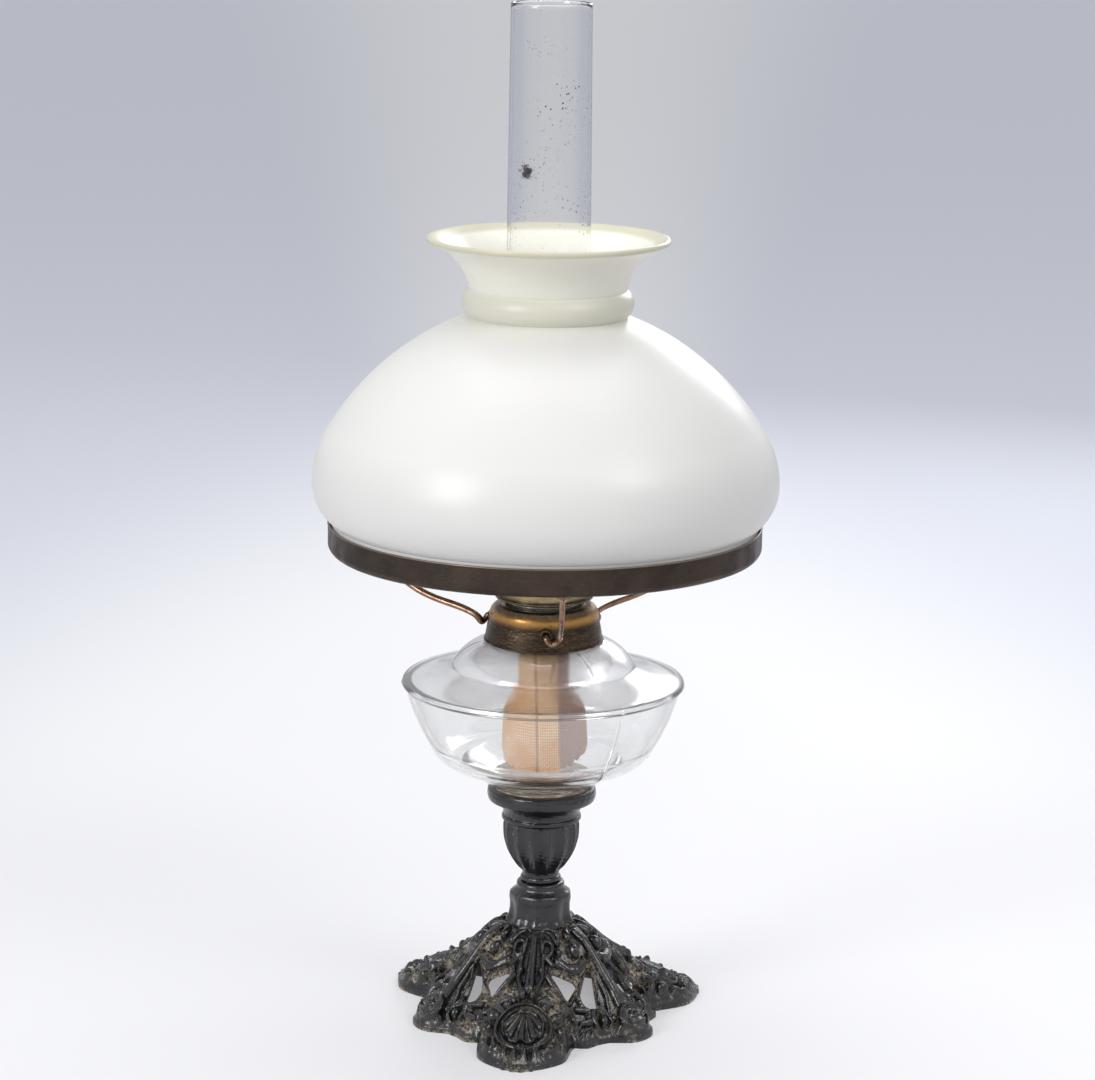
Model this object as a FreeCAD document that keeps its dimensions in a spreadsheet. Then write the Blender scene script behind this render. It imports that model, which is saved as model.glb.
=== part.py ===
import FreeCAD, Part
import math
import operator
import os

import Sketcher
from FreeCAD import Placement, Rotation, Vector

# Table oil lamp, about 1900: cast foot, fluted cup, pressed glass font, round-wick burner,
# chimney, and a white shade on a three-armed holder. The origin is on the table, under the axis.
# The photograph's camera looks along +Y. Angles named azimuth run from -Y towards +X.

document = FreeCAD.newDocument("OilLamp")

# Driving dimensions in millimetres
driving = {
    # Foot and pedestal
    "footHeight": 52.5,
    "footLobeRadius": 98.5,
    "footCornerRadius": 74.0,
    "footValleyRadius": 62.0,
    "footEdge": 5.0,
    "footWall": 4.2,
    "footLobeAzimuth": -7.0,
    "pedestalHeight": 24.5,
    "pedestalFootRadius": 18.7,
    "pedestalWaistRadius": 16.6,
    "pedestalTopRadius": 13.0,
    "pedestalFloor": 16.0,
    "piercingRadius": 4.2,
    "ribRadius": 3.4,
    "shellWidth": 30.0,
    "shellRise": 8.0,
    "scrollRadius": 9.0,
    # Fluted cup
    "cupHeight": 55.0,
    "cupRimRadius": 30.0,
    "cupRimBand": 8.0,
    "cupCoveRadius": 23.6,
    "cupBowlRadius": 20.4,
    "cupNeckRadius": 10.6,
    "cupWall": 3.0,
    "cupFloor": 42.0,
    "fluteRadius": 1.7,
    "fluteCount": 14,
    # Bolt through the stem
    "boltRadius": 3.0,
    "boltHoleGap": 0.3,
    "boltHeadRadius": 6.0,
    "boltHeadHeight": 2.4,
    "boltThreadSpare": 3.0,
    "nutAcross": 10.0,
    "nutHeight": 5.0,
    "washerRadius": 9.0,
    "washerThick": 1.5,
    # Glass font
    "fontSink": 1.0,
    "fontPegRadius": 25.0,
    "fontPegEndRadius": 19.0,
    "fontPegLength": 7.5,
    "plasterThick": 2.0,
    "fontFloorRadius": 45.0,
    "fontConeHeight": 13.5,
    "fontBowlHeight": 44.5,
    "fontBowlBend": 110.0,
    "fontRimStep": 2.5,
    "fontRimRadius": 78.0,
    "fontRimBand": 4.0,
    "fontShoulderRise": 11.5,
    "fontCreaseRadius": 49.0,
    "fontDomeRise": 11.0,
    "fontDomeRadius": 26.5,
    "fontNeckRadius": 22.0,
    "fontNeckHeight": 8.5,
    "fontNeckWall": 3.5,
    "fontWall": 3.0,
    # Collar cemented to the neck
    "collarHeight": 19.5,
    "collarRadius": 24.0,
    "collarThreadRadius": 20.9,
    "collarCement": 0.9,
    # Shade holder
    "hubHeight": 20.7,
    "hubSkirtRadius": 32.5,
    "hubShoulderRadius": 30.0,
    "hubTopRadius": 25.5,
    "hubShoulderDrop": 6.5,
    "hubBend": 6.6,
    "hubHoleRadius": 21.8,
    "hubWall": 1.0,
    "eyeletRadius": 3.5,
    "eyeletReach": 2.8,
    "eyeletHeight": 9.7,
    "eyeletAzimuth": 2.0,
    "armWireRadius": 1.6,
    "armBoreGap": 0.1,
    "armHookBend": 2.2,
    "armBowBend": 55.0,
    "armSideStep": 6.0,
    "armHookDrop": 5.2,
    "armHookReach": 5.5,
    "padLength": 10.0,
    "padWidth": 7.0,
    "padThick": 1.6,
    "ringRise": 30.0,
    "ringRadius": 118.5,
    "ringHeight": 15.5,
    "ringFlange": 15.5,
    "ringBend": 3.5,
    "ringWall": 1.0,
    "rivetRadius": 1.1,
    "rivetHeadRadius": 2.0,
    "rivetHeadHeight": 0.9,
    "rivetInset": 2.4,
    # Shade
    "shadeFitGap": 1.1,
    "shadeRadius": 127.4,
    "shadeBellyHeight": 37.0,
    "shadeCurlBend": 26.7,
    "shadeShoulderRadius": 117.5,
    "shadeShoulderHeight": 68.0,
    "shadeBellyBend": 53.5,
    "shadeDomeBend": 150.0,
    "shadeNeckRadius": 43.0,
    "shadeNeckHeight": 128.0,
    "shadeBeadBend": 8.8,
    "shadeBeadHeight": 14.5,
    "shadeFlareRadius": 65.0,
    "shadeFlareBend": 32.0,
    "shadeHeight": 167.6,
    "shadeWall": 3.2,
    # Burner
    "threadGap": 0.3,
    "burnerThreadLength": 9.0,
    "burnerStandOff": 4.5,
    "burnerRingWall": 1.2,
    "plateRadius": 27.0,
    "plateThick": 1.2,
    "basketRadius": 24.5,
    "basketWall": 0.8,
    "basketHeight": 33.0,
    "airHoleRadius": 1.5,
    "airHoleCount": 24,
    "airHoleInset": 6.0,
    "airHolePitch": 4.5,
    "seatRise": 47.3,
    "galleryWall": 0.8,
    "galleryRimRadius": 29.2,
    "galleryRim": 3.0,
    "galleryLap": 8.0,
    "galleryLedge": 3.3,
    "fingerWall": 0.6,
    "fingerHeight": 15.0,
    "fingerGap": 0.4,
    "fingerSlot": 3.0,
    "fingerCount": 12,
    "coneTopRadius": 17.4,
    "coneWall": 0.6,
    "coneBend": 34.0,
    "coneRise": 8.0,
    "wickTubeRadius": 14.7,
    "wickTubeWall": 0.6,
    "wickTubeRise": 12.0,
    "wickTubeDrop": 7.5,
    "draughtTubeRadius": 11.4,
    "ductWidth": 6.0,
    "ductHeight": 16.0,
    "ductBottom": 6.0,
    # Winder
    "winderRise": 17.3,
    "shaftRadius": 1.2,
    "shaftOffset": 17.5,
    "shaftLeft": 20.0,
    "shaftRight": 56.0,
    "runningGap": 0.05,
    "bushRadius": 2.4,
    "bushInner": 12.5,
    "bushOuter": 22.0,
    "spurRadius": 4.9,
    "spurThick": 1.2,
    "spurOffset": 6.0,
    "spurSlotGap": 0.5,
    "knobRadius": 10.0,
    "knobThick": 4.0,
    "knobHubRadius": 3.2,
    "knobHubLength": 5.0,
    # Wick
    "wickRadius": 12.7,
    "wickThick": 2.0,
    "wickEdgeGap": 0.6,
    "wickTrim": 1.6,
    "wickTravel": 12.0,
    "wickFlareRadius": 24.0,
    "wickBottom": 11.0,
    # Chimney
    "chimneyLength": 274.0,
    "chimneyBaseRadius": 26.0,
    "chimneyBaseHeight": 12.0,
    "chimneyWaistRadius": 18.2,
    "chimneyWaistHeight": 34.0,
    "chimneyBulgeRadius": 23.2,
    "chimneyBulgeHeight": 62.0,
    "chimneyTopRadius": 21.65,
    "chimneyBend": 16.0,
    "chimneySwellBend": 41.6,
    "chimneyWall": 1.6,
    # One overrun for every cut
    "overrun": 1.0,
}

sheet = document.addObject("Spreadsheet::Sheet", "Sizes")
for row, (name, value) in enumerate(driving.items(), start=1):
    sheet.set("A%d" % row, name)
    sheet.set("B%d" % row, str(value))
    sheet.setAlias("B%d" % row, name)
document.recompute()


# A number together with the sheet expression that gives it
class Size:
    def __init__(self, value, text):
        self.value = value
        self.text = text

    def __add__(self, other):
        return joined(self, "+", other)

    def __radd__(self, other):
        return joined(other, "+", self)

    def __sub__(self, other):
        return joined(self, "-", other)

    def __rsub__(self, other):
        return joined(other, "-", self)

    def __mul__(self, other):
        return joined(self, "*", other)

    def __rmul__(self, other):
        return joined(other, "*", self)

    def __truediv__(self, other):
        return joined(self, "/", other)

    def __neg__(self):
        return joined(0, "-", self)


workings = {"+": operator.add, "-": operator.sub, "*": operator.mul, "/": operator.truediv}


def asSize(number):
    return number if isinstance(number, Size) else Size(float(number), "%.6f" % number)


def joined(first, sign, second):
    first, second = asSize(first), asSize(second)
    return Size(workings[sign](first.value, second.value), "(%s %s %s)" % (first.text, sign, second.text))


class SizeTable:
    def __getattr__(self, name):
        return Size(float(sheet.get(name)), "Sizes.%s" % name)


S = SizeTable()

# Heights of the seats that the pieces share
footTop = S.footHeight
stemTop = footTop + S.pedestalHeight
cupTop = stemTop + S.cupHeight
cupFloorTop = stemTop + S.cupFloor
fontBase = cupTop - S.fontSink
fontEdge = fontBase + S.fontConeHeight
fontRim = fontEdge + S.fontBowlHeight
fontShoulder = fontRim + S.fontRimBand
fontCrease = fontShoulder + S.fontShoulderRise
fontDomeTop = fontCrease + S.fontDomeRise
fontNeckTop = fontDomeTop + S.fontNeckHeight
collarTop = fontDomeTop + S.collarHeight
hubTop = collarTop + S.hubWall
hubBottom = hubTop - S.hubHeight
flangeBottom = hubTop + S.ringRise
flangeTop = flangeBottom + S.ringWall
burnerRingTop = collarTop + S.burnerStandOff
plateTop = burnerRingTop + S.plateThick
chimneySeat = plateTop + S.seatRise
wickTubeTop = chimneySeat + S.wickTubeRise
winderHeight = plateTop + S.winderRise
burnerThreadRadius = S.collarThreadRadius - S.threadGap
basketTop = plateTop + S.basketHeight
fullTurn = 360
LEFT = 1
RIGHT = -1
# A bend of fewer walls than this keeps its own radius on the inside
wallsInBend = 3


# A corner of an outline. With a bend, the edge that reaches it is an arc turning left or right.
class Corner:
    def __init__(self, r, z, bend=None, turn=LEFT):
        self.r = asSize(r)
        self.z = asSize(z)
        self.bend = bend
        self.turn = turn

    def point(self):
        return Vector(self.r.value, self.z.value, 0)


def arcCentre(start, end, radius, turn):
    chord = end - start
    across = Vector(-chord.y, chord.x, 0).normalize() * turn
    depth = math.sqrt(max(radius ** 2 - (chord.Length / 2) ** 2, 0))
    return (start + end) / 2 + across * depth


def directions(start, corner):
    # Unit directions of an edge at its start and at its end
    begin, end = start.point(), corner.point()
    if corner.bend is None:
        way = (end - begin).normalize()
        return way, way
    centre = arcCentre(begin, end, corner.bend.value, corner.turn)
    ways = []
    for spot in (begin, end):
        spoke = spot - centre
        ways.append(Vector(-spoke.y, spoke.x, 0).normalize() * corner.turn)
    return ways[0], ways[1]


def walled(outside, wall):
    # Closes an outer line with a line one wall to its left
    edges = [directions(outside[i], outside[i + 1]) for i in range(len(outside) - 1)]
    inside = []
    for i, corner in enumerate(outside):
        before = edges[i - 1][1] if i > 0 else edges[0][0]
        after = edges[i][0] if i < len(edges) else edges[-1][1]
        way = (before + after).normalize()
        stretchShare = 1 / max(way.dot(before), 0.5)
        leftShares = Vector(-way.y, way.x, 0) * stretchShare
        inside.append(Corner(corner.r + wall * leftShares.x, corner.z + wall * leftShares.y))
    closed = list(outside)
    for i in range(len(inside) - 1, -1, -1):
        inner = inside[i]
        if i < len(inside) - 1 and outside[i + 1].bend is not None:
            following = outside[i + 1]
            tight = following.bend.value < wallsInBend * wall.value
            inner.bend = following.bend if tight else following.bend - wall * following.turn
            inner.turn = -following.turn
        closed.append(inner)
    return closed


def bind(target, **values):
    for name, size in values.items():
        target.setExpression(name.replace("_", "."), asSize(size).text)


def originPlane(body, role):
    return next(item for item in body.Origin.OriginFeatures if item.Role == role)


def sketchOn(body, role, name):
    sketch = body.newObject("Sketcher::SketchObject", name)
    sketch.AttachmentSupport = [(originPlane(body, role), "")]
    sketch.MapMode = "FlatFace"
    return sketch


def pinPoint(sketch, edge, end, r, z):
    for kind, size, axis in (("DistanceX", r, -2), ("DistanceY", z, -1)):
        if size.value == 0:
            sketch.addConstraint(Sketcher.Constraint("PointOnObject", edge, end, axis))
            continue
        index = sketch.addConstraint(Sketcher.Constraint(kind, edge, end, size.value))
        sketch.setExpression("Constraints[%d]" % index, size.text)


def drawOutline(sketch, corners):
    # Edge i runs from corner i - 1 to corner i
    ends = []
    for i, corner in enumerate(corners):
        begin, end = corners[i - 1].point(), corner.point()
        if corner.bend is None:
            sketch.addGeometry(Part.LineSegment(begin, end))
            ends.append((1, 2))
            continue
        centre = arcCentre(begin, end, corner.bend.value, corner.turn)
        circle = Part.Circle(centre, Vector(0, 0, 1), corner.bend.value)
        first, last = (begin, end) if corner.turn == LEFT else (end, begin)
        angles = [math.atan2(p.y - centre.y, p.x - centre.x) for p in (first, last)]
        if angles[1] < angles[0]:
            angles[1] += 2 * math.pi
        sketch.addGeometry(Part.ArcOfCircle(circle, angles[0], angles[1]))
        ends.append((1, 2) if corner.turn == LEFT else (2, 1))
    for i, corner in enumerate(corners):
        following = (i + 1) % len(corners)
        sketch.addConstraint(Sketcher.Constraint("Coincident", i, ends[i][1], following, ends[following][0]))
        pinPoint(sketch, i, ends[i][1], corner.r, corner.z)
        if corner.bend is not None:
            index = sketch.addConstraint(Sketcher.Constraint("Radius", i, corner.bend.value))
            sketch.setExpression("Constraints[%d]" % index, corner.bend.text)


nodes = []


def newBody(label):
    body = document.addObject("PartDesign::Body", "Body_" + label)
    body.Label = label
    return body


def turned(label, corners, keep=True):
    # A body turned about the lamp's axis from a closed outline in radius and height
    body = newBody(label)
    sketch = sketchOn(body, "XZ_Plane", "Outline_" + label)
    drawOutline(sketch, corners)
    turning = body.newObject("PartDesign::Revolution", "Turning_" + label)
    turning.Profile = sketch
    turning.ReferenceAxis = (sketch, ["V_Axis"])
    turning.Angle = fullTurn
    sketch.Visibility = False
    body.Tip = turning
    if keep:
        nodes.append(body)
    return body


def cylinder(label, radius, height, x=0, y=0, z=0, turn=None):
    piece = document.addObject("Part::Cylinder", label)
    piece.Label = label
    bind(piece, Radius=radius, Height=height)
    place(piece, x, y, z, turn)
    return piece


def box(label, length, width, height, x, y, z):
    piece = document.addObject("Part::Box", label)
    piece.Label = label
    bind(piece, Length=length, Width=width, Height=height)
    place(piece, x, y, z)
    return piece


def place(piece, x=0, y=0, z=0, turn=None):
    if turn is not None:
        piece.Placement = Placement(Vector(), turn)
    bind(piece, Placement_Base_x=x, Placement_Base_y=y, Placement_Base_z=z)


def joinedBy(kind, label, base, tools, keep=True):
    shape = base
    for number, tool in enumerate(tools):
        result = document.addObject(kind, "%s_%d" % (label, number))
        result.Base = shape
        result.Tool = tool
        shape = result
    shape.Label = label
    if keep:
        nodes.append(shape)
    return shape


def cutBy(label, base, tools, keep=True):
    return joinedBy("Part::Cut", label, base, tools, keep)


def coded(label, shape, azimuth=0):
    # A piece whose shape comes from code, because no sketch or primitive fits it
    piece = document.addObject("Part::Feature", label)
    piece.Label = label
    piece.Shape = shape
    piece.Placement = Placement(Vector(), Rotation(Vector(0, 0, 1), azimuth))
    nodes.append(piece)
    return piece


alongX = Rotation(Vector(0, 1, 0), 90)


def aroundAxis(shape, angle):
    copy = shape.copy()
    copy.rotate(Vector(), Vector(0, 0, 1), angle)
    return copy


def atEach(shape, count):
    return [aroundAxis(shape, k * fullTurn / count) for k in range(int(count))]


def polar(radius, azimuth, height=0):
    turnTo = math.radians(azimuth - 90)
    return Vector(radius * math.cos(turnTo), radius * math.sin(turnTo), height)


# Cast foot
# The plain surface in three arcs, rim first: shares of the lobe radius and of the foot's height
footProfileShares = ((0.80, 0.105), (0.66, 0.13), (0.58, 0.22), (0.50, 0.38), (0.42, 0.60), (0.32, 0.82))
# The rim in arcs: angle from a lobe's centre, with shares of lobe, corner and valley radius
footOutlineShares = (
    (0, (1.0, 0, 0)),
    (9, (0.92, 0, 0)),
    (17, (0.81, 0, 0)),
    (22, (0.68, 0, 0)),
    (25, (0, 0, 1.01)),
    (29, (0, 0, 1.07)),
    (38, (0, 0, 1.03)),
    (47, (0, 0.90, 0)),
    (50, (0, 0.95, 0)),
    (53, (0, 0.98, 0)),
    (60, (0, 1.0, 0)),
)
lobeCount = 3
lobeStep = fullTurn / lobeCount
# Each piercing's wide lower end and narrow upper end: angle from the lobe's centre, share of its radius
piercingShares = (((34, 0.52), (50, 0.385)), ((26, 0.45), (38, 0.31)))
# A rib's line, the two ends of the shell and the scroll's middle: shares of lobe radius and foot height
ribShares = ((0.71, 0.10), (0.47, 0.50), (0.25, 0.90))
shellShares = ((0.45, 0.42), (0.89, 0.05))
scrollShare = (0.65, 0.0)


def footShellShape():
    lobe, height = S.footLobeRadius.value, footTop.value
    edge, wall, cut = S.footEdge.value, S.footWall.value, S.overrun.value
    stemFloor = stemTop.value - S.pedestalFloor.value
    bore = S.boltRadius.value + S.boltHoleGap.value
    hollow = S.pedestalTopRadius.value - wall / 2
    foot = Vector(S.pedestalFootRadius.value, 0, height)
    waist = Vector(S.pedestalWaistRadius.value, 0, (height + stemTop.value) / 2)
    crown = Vector(S.pedestalTopRadius.value, 0, stemTop.value)
    top = [Vector(lobe * r, 0, height * z) for r, z in footProfileShares] + [foot]
    under = [Vector(p.x - wall / 2, 0, p.z - wall) for p in top[2:-1]]
    line = [
        crown,
        Vector(bore, 0, stemTop.value),
        Vector(bore, 0, stemFloor),
        Vector(hollow, 0, stemFloor),
        Vector(hollow, 0, under[-1].z),
    ]
    line += reversed(under)
    line += [Vector(top[1].x, 0, 0), Vector(lobe + cut, 0, 0), Vector(lobe + cut, 0, edge), top[0]]
    arcs = [Part.Arc(*top[i:i + 3]).toShape() for i in (0, 2, 4)]
    arcs.append(Part.Arc(foot, waist, crown).toShape())
    face = Part.Face(Part.Wire(arcs + Part.makePolygon(line).Edges))
    return face.revolve(Vector(), Vector(0, 0, 1), fullTurn)


def footOutlineShape():
    radii = (S.footLobeRadius.value, S.footCornerRadius.value, S.footValleyRadius.value)
    sector = [(angle, sum(s * r for s, r in zip(shares, radii))) for angle, shares in footOutlineShares]
    sector += [(lobeStep - angle, r) for angle, r in reversed(sector[1:-1])]
    points = []
    for k in range(lobeCount):
        start = S.footLobeAzimuth.value + k * lobeStep
        points += [polar(r, start + angle, -S.overrun.value) for angle, r in sector]
    count = len(points)
    arcs = [Part.Arc(points[i - 1], points[i], points[(i + 1) % count]).toShape() for i in range(0, count, 2)]
    return Part.Face(Part.Wire(arcs)).extrude(Vector(0, 0, stemTop.value + S.overrun.value * 2))


def footPlace(shares, azimuth):
    return polar(S.footLobeRadius.value * shares[0], azimuth, footTop.value * shares[1])


def slot(low, high, azimuth, side):
    # A tapering hole with round ends, cut straight down
    radius, tall = S.piercingRadius.value, footTop.value + S.overrun.value
    under = -S.overrun.value
    lobe = S.footLobeRadius.value
    places = [polar(lobe * share, azimuth + side * angle, under) for angle, share in (low, high)]
    radii = (radius, radius / 2)
    ends = [Part.makeCylinder(r, tall, place) for r, place in zip(radii, places)]
    across = (places[1] - places[0]).normalize().cross(Vector(0, 0, 1))
    corners = [
        places[0] + across * radii[0],
        places[1] + across * radii[1],
        places[1] - across * radii[1],
        places[0] - across * radii[0],
    ]
    web = Part.Face(Part.makePolygon(corners + corners[:1])).extrude(Vector(0, 0, tall))
    return ends[0].fuse([ends[1], web])


def spindle(start, end, radius):
    # A pointed round body between two points, turned from one arc
    chord = end - start
    arc = Part.Arc(Vector(), Vector(chord.Length / 2, radius, 0), Vector(chord.Length, 0, 0)).toShape()
    base = Part.LineSegment(Vector(chord.Length, 0, 0), Vector()).toShape()
    body = Part.Face(Part.Wire([arc, base])).revolve(Vector(), Vector(1, 0, 0), fullTurn)
    body.Placement = Placement(start, Rotation(Vector(1, 0, 0), chord))
    return body


def ribShape(azimuth):
    radius = S.ribRadius.value
    line = [footPlace(shares, azimuth) for shares in ribShares]
    path = Part.Wire([Part.Arc(*line).toShape()])
    edge = path.Edges[0]
    start = edge.valueAt(edge.FirstParameter)
    section = Part.Wire([Part.makeCircle(radius, start, edge.tangentAt(edge.FirstParameter))])
    pipe = path.makePipeShell([section], True, False)
    return [pipe, Part.makeSphere(radius, line[0]), Part.makeSphere(radius, line[2])]


def castFoot():
    lobe = S.footLobeRadius.value
    sunk = Vector(0, 0, S.shellRise.value - S.shellWidth.value / 2)
    holes = []
    raised = []
    for k in range(lobeCount):
        azimuth = S.footLobeAzimuth.value + k * lobeStep
        corner = azimuth + lobeStep / 2
        for low, high in piercingShares:
            holes += [slot(low, high, azimuth, side) for side in (-1, 1)]
        ends = [footPlace(shares, azimuth) + sunk for shares in shellShares]
        raised.append(spindle(ends[0], ends[1], S.shellWidth.value / 2))
        raised.append(Part.makeSphere(S.scrollRadius.value, footPlace(scrollShare, corner)))
        raised += ribShape(corner)
    plain = footShellShape().common(footOutlineShape()).cut(holes)
    below = Part.makeCylinder(2 * lobe, lobe, Vector(0, 0, -lobe))
    hollow = S.pedestalTopRadius.value - S.footWall.value / 2
    bore = Part.makeCylinder(hollow, stemTop.value - S.pedestalFloor.value)
    return plain.fuse(raised).cut([bore, below]).removeSplitter()


coded("cast_foot", castFoot())

# Fluted cup, turned and then fluted
# Shares of the cup's height: its neck and its bowl, and the bends at neck, bowl, cove and lip
cupNeckShare = 0.12
cupBowlShare = 0.62
cupBendShares = (0.10, 0.62, 0.22, 0.14)
# Bends of the rim band, as shares of its height
bandBendShares = (0.6, 0.5)
# Each flute's height as a share of the cup's, and how far out it lies, in shares of cup and flute radius
fluteLowShare = 0.20
fluteMiddleShare = 0.42
fluteOutShares = (1.6, 0.90, 0.45)
cupRimUnder = cupTop - S.cupRimBand
cupCoveFoot = stemTop + S.cupHeight * cupBowlShare
cupWaist = stemTop + S.cupHeight * cupNeckShare
cupBends = [S.cupHeight * share for share in cupBendShares]
bandBends = [S.cupRimBand * share for share in bandBendShares]
cupMouthRadius = S.fontPegRadius + S.plasterThick
cupWellRadius = S.fontPegEndRadius + S.plasterThick / 2
boltBore = S.boltRadius + S.boltHoleGap
cupCorners = [
    Corner(boltBore, stemTop),
    Corner(S.cupNeckRadius, stemTop),
    Corner(S.cupNeckRadius, cupWaist, cupBends[0]),
    Corner(S.cupBowlRadius, cupCoveFoot, cupBends[1]),
    Corner(S.cupCoveRadius, cupRimUnder - S.cupWall, cupBends[2], RIGHT),
    Corner(S.cupRimRadius - S.cupWall, cupRimUnder, cupBends[3], RIGHT),
    Corner(S.cupRimRadius, cupRimUnder + S.cupRimBand / 2, bandBends[0]),
    Corner(S.cupRimRadius - S.cupWall / 2, cupTop, bandBends[1]),
    Corner(cupMouthRadius, cupTop),
    Corner(cupWellRadius, cupFloorTop),
    Corner(boltBore, cupFloorTop),
]
cupBlank = turned("cup_blank", cupCorners, keep=False)
document.recompute()


def flutedCup():
    radius, height, neck = S.cupBowlRadius.value, S.cupHeight.value, S.cupNeckRadius.value
    flute = S.fluteRadius.value
    lowOut, bowlOut, highOut = fluteOutShares
    low = Vector(0, -(neck + flute * lowOut), stemTop.value + height * fluteLowShare)
    middle = Vector(0, -(radius * bowlOut + flute * highOut), stemTop.value + height * fluteMiddleShare)
    high = Vector(0, -(radius + flute * highOut), cupCoveFoot.value - flute)
    run = Part.Wire([Part.Arc(low, middle, high).toShape()])
    way = run.Edges[0].tangentAt(run.Edges[0].FirstParameter)
    groove = run.makePipeShell([Part.Wire([Part.makeCircle(flute, low, way)])], True, False)
    cutter = groove.fuse([Part.makeSphere(flute, low), Part.makeSphere(flute, high)])
    return cupBlank.Shape.cut(atEach(cutter, S.fluteCount.value))


coded("fluted_cup", flutedCup())

# Bolt, washer and nut that hold the cup on the foot
boltTop = cupFloorTop
pedestalCeiling = stemTop - S.pedestalFloor
washerBottom = pedestalCeiling - S.washerThick
nutBottom = washerBottom - S.nutHeight
boltEnd = nutBottom - S.boltThreadSpare
boltCrownShare = 0.8
boltCrown = S.boltHeadRadius * boltCrownShare
boltHeadTop = boltTop + S.boltHeadHeight
turned("cup_bolt", [
    Corner(0, boltEnd),
    Corner(S.boltRadius, boltEnd),
    Corner(S.boltRadius, boltTop),
    Corner(S.boltHeadRadius, boltTop),
    Corner(boltCrown, boltHeadTop, S.boltHeadRadius),
    Corner(0, boltHeadTop),
])
turned("bolt_washer", [
    Corner(boltBore, washerBottom),
    Corner(S.washerRadius, washerBottom),
    Corner(S.washerRadius, pedestalCeiling),
    Corner(boltBore, pedestalCeiling),
])
nutBlank = document.addObject("Part::Prism", "nut_blank")
nutBlank.Polygon = 6
bind(nutBlank, Circumradius=S.nutAcross / math.sqrt(3), Height=S.nutHeight)
place(nutBlank, z=nutBottom)
nutBore = cylinder("nut_bore", S.boltRadius, S.nutHeight + S.overrun * 2, z=nutBottom - S.overrun)
cutBy("bolt_nut", nutBlank, [nutBore])

# Plaster that beds the font in the cup, round its glass peg
pegBottom = fontBase - S.fontPegLength
plasterMouthShare = 0.9
plasterMouth = S.fontPegRadius + S.plasterThick * plasterMouthShare
turned("plaster_bed", [
    Corner(0, boltHeadTop),
    Corner(boltCrown, boltHeadTop),
    Corner(S.boltHeadRadius, boltTop, S.boltHeadRadius, RIGHT),
    Corner(cupWellRadius, boltTop),
    Corner(cupMouthRadius, cupTop),
    Corner(plasterMouth, cupTop),
    Corner(S.fontPegRadius, fontBase),
    Corner(S.fontPegEndRadius, pegBottom),
    Corner(0, pegBottom),
])

# Glass font with its peg, bowl, flat shoulder, dome and neck
# Shares of the bottom cone's height and of the floor's width that the inside floor takes
fontFloorShares = (0.62, 0.6)
# The bowl's heel: shares of the rim's radius and of the bowl's height
fontHeelShares = (0.80, 0.28)
# The heel's bend as a share of its run outwards
heelBendShare = 1.092
# Bends: of the rim band, of the shoulder outside and inside, of the dome outside and inside
bandBendShare = 0.8
shoulderBendShares = (0.55, 0.60)
domeBendShares = (0.75, 0.72)
# The inner edge under the rim, in walls inwards and down
rimInsideShares = (1.9, 0.7)
fontNeckBore = S.fontNeckRadius - S.fontNeckWall
fontFloorTop = fontBase + S.fontConeHeight * fontFloorShares[0]
fontHeelRadius = S.fontRimRadius * fontHeelShares[0]
fontHeel = fontEdge + S.fontBowlHeight * fontHeelShares[1]
fontBandBend = S.fontRimBand * bandBendShare
fontHeelBend = (fontHeelRadius - S.fontFloorRadius) * heelBendShare
turned("glass_font", [
    Corner(0, pegBottom),
    Corner(S.fontPegEndRadius, pegBottom),
    Corner(S.fontPegRadius, fontBase),
    Corner(S.fontFloorRadius, fontEdge),
    Corner(fontHeelRadius, fontHeel, fontHeelBend),
    Corner(S.fontRimRadius - S.fontRimStep, fontRim, S.fontBowlBend),
    Corner(S.fontRimRadius, fontRim + S.fontRimBand / 2, fontBandBend),
    Corner(S.fontRimRadius - S.fontWall / 3, fontShoulder, fontBandBend),
    Corner(S.fontCreaseRadius, fontCrease, S.fontRimRadius * shoulderBendShares[0], RIGHT),
    Corner(S.fontDomeRadius, fontDomeTop, S.fontCreaseRadius * domeBendShares[0]),
    Corner(S.fontNeckRadius, fontDomeTop),
    Corner(S.fontNeckRadius, fontNeckTop),
    Corner(fontNeckBore, fontNeckTop),
    Corner(fontNeckBore, fontDomeTop - S.fontWall),
    Corner(S.fontDomeRadius, fontDomeTop - S.fontWall),
    Corner(S.fontCreaseRadius - S.fontWall / 2, fontCrease - S.fontWall,
           S.fontCreaseRadius * domeBendShares[1], RIGHT),
    Corner(S.fontRimRadius - S.fontWall * rimInsideShares[0], fontShoulder - S.fontWall * rimInsideShares[1],
           S.fontRimRadius * shoulderBendShares[1]),
    Corner(S.fontRimRadius - S.fontRimStep - S.fontWall, fontRim - S.fontWall / 3, S.fontWall, RIGHT),
    Corner(fontHeelRadius - S.fontWall, fontHeel + S.fontWall / 3, S.fontBowlBend - S.fontWall, RIGHT),
    Corner(S.fontFloorRadius - S.fontWall, fontEdge + S.fontWall, fontHeelBend - S.fontWall, RIGHT),
    Corner(S.fontFloorRadius * fontFloorShares[1], fontFloorTop),
    Corner(0, fontFloorTop - S.fontWall / 2),
])

# Collar and its cement
collarSkirtBore = S.fontNeckRadius + S.collarCement
cementTop = fontNeckTop
turned("collar_plaster", [
    Corner(S.fontNeckRadius, fontDomeTop),
    Corner(collarSkirtBore, fontDomeTop),
    Corner(collarSkirtBore, cementTop),
    Corner(S.fontNeckRadius, cementTop),
])
turned("font_collar", [
    Corner(collarSkirtBore, fontDomeTop),
    Corner(S.collarRadius, fontDomeTop),
    Corner(S.collarRadius, collarTop),
    Corner(S.collarThreadRadius, collarTop),
    Corner(S.collarThreadRadius, cementTop),
    Corner(collarSkirtBore, cementTop),
])

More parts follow.
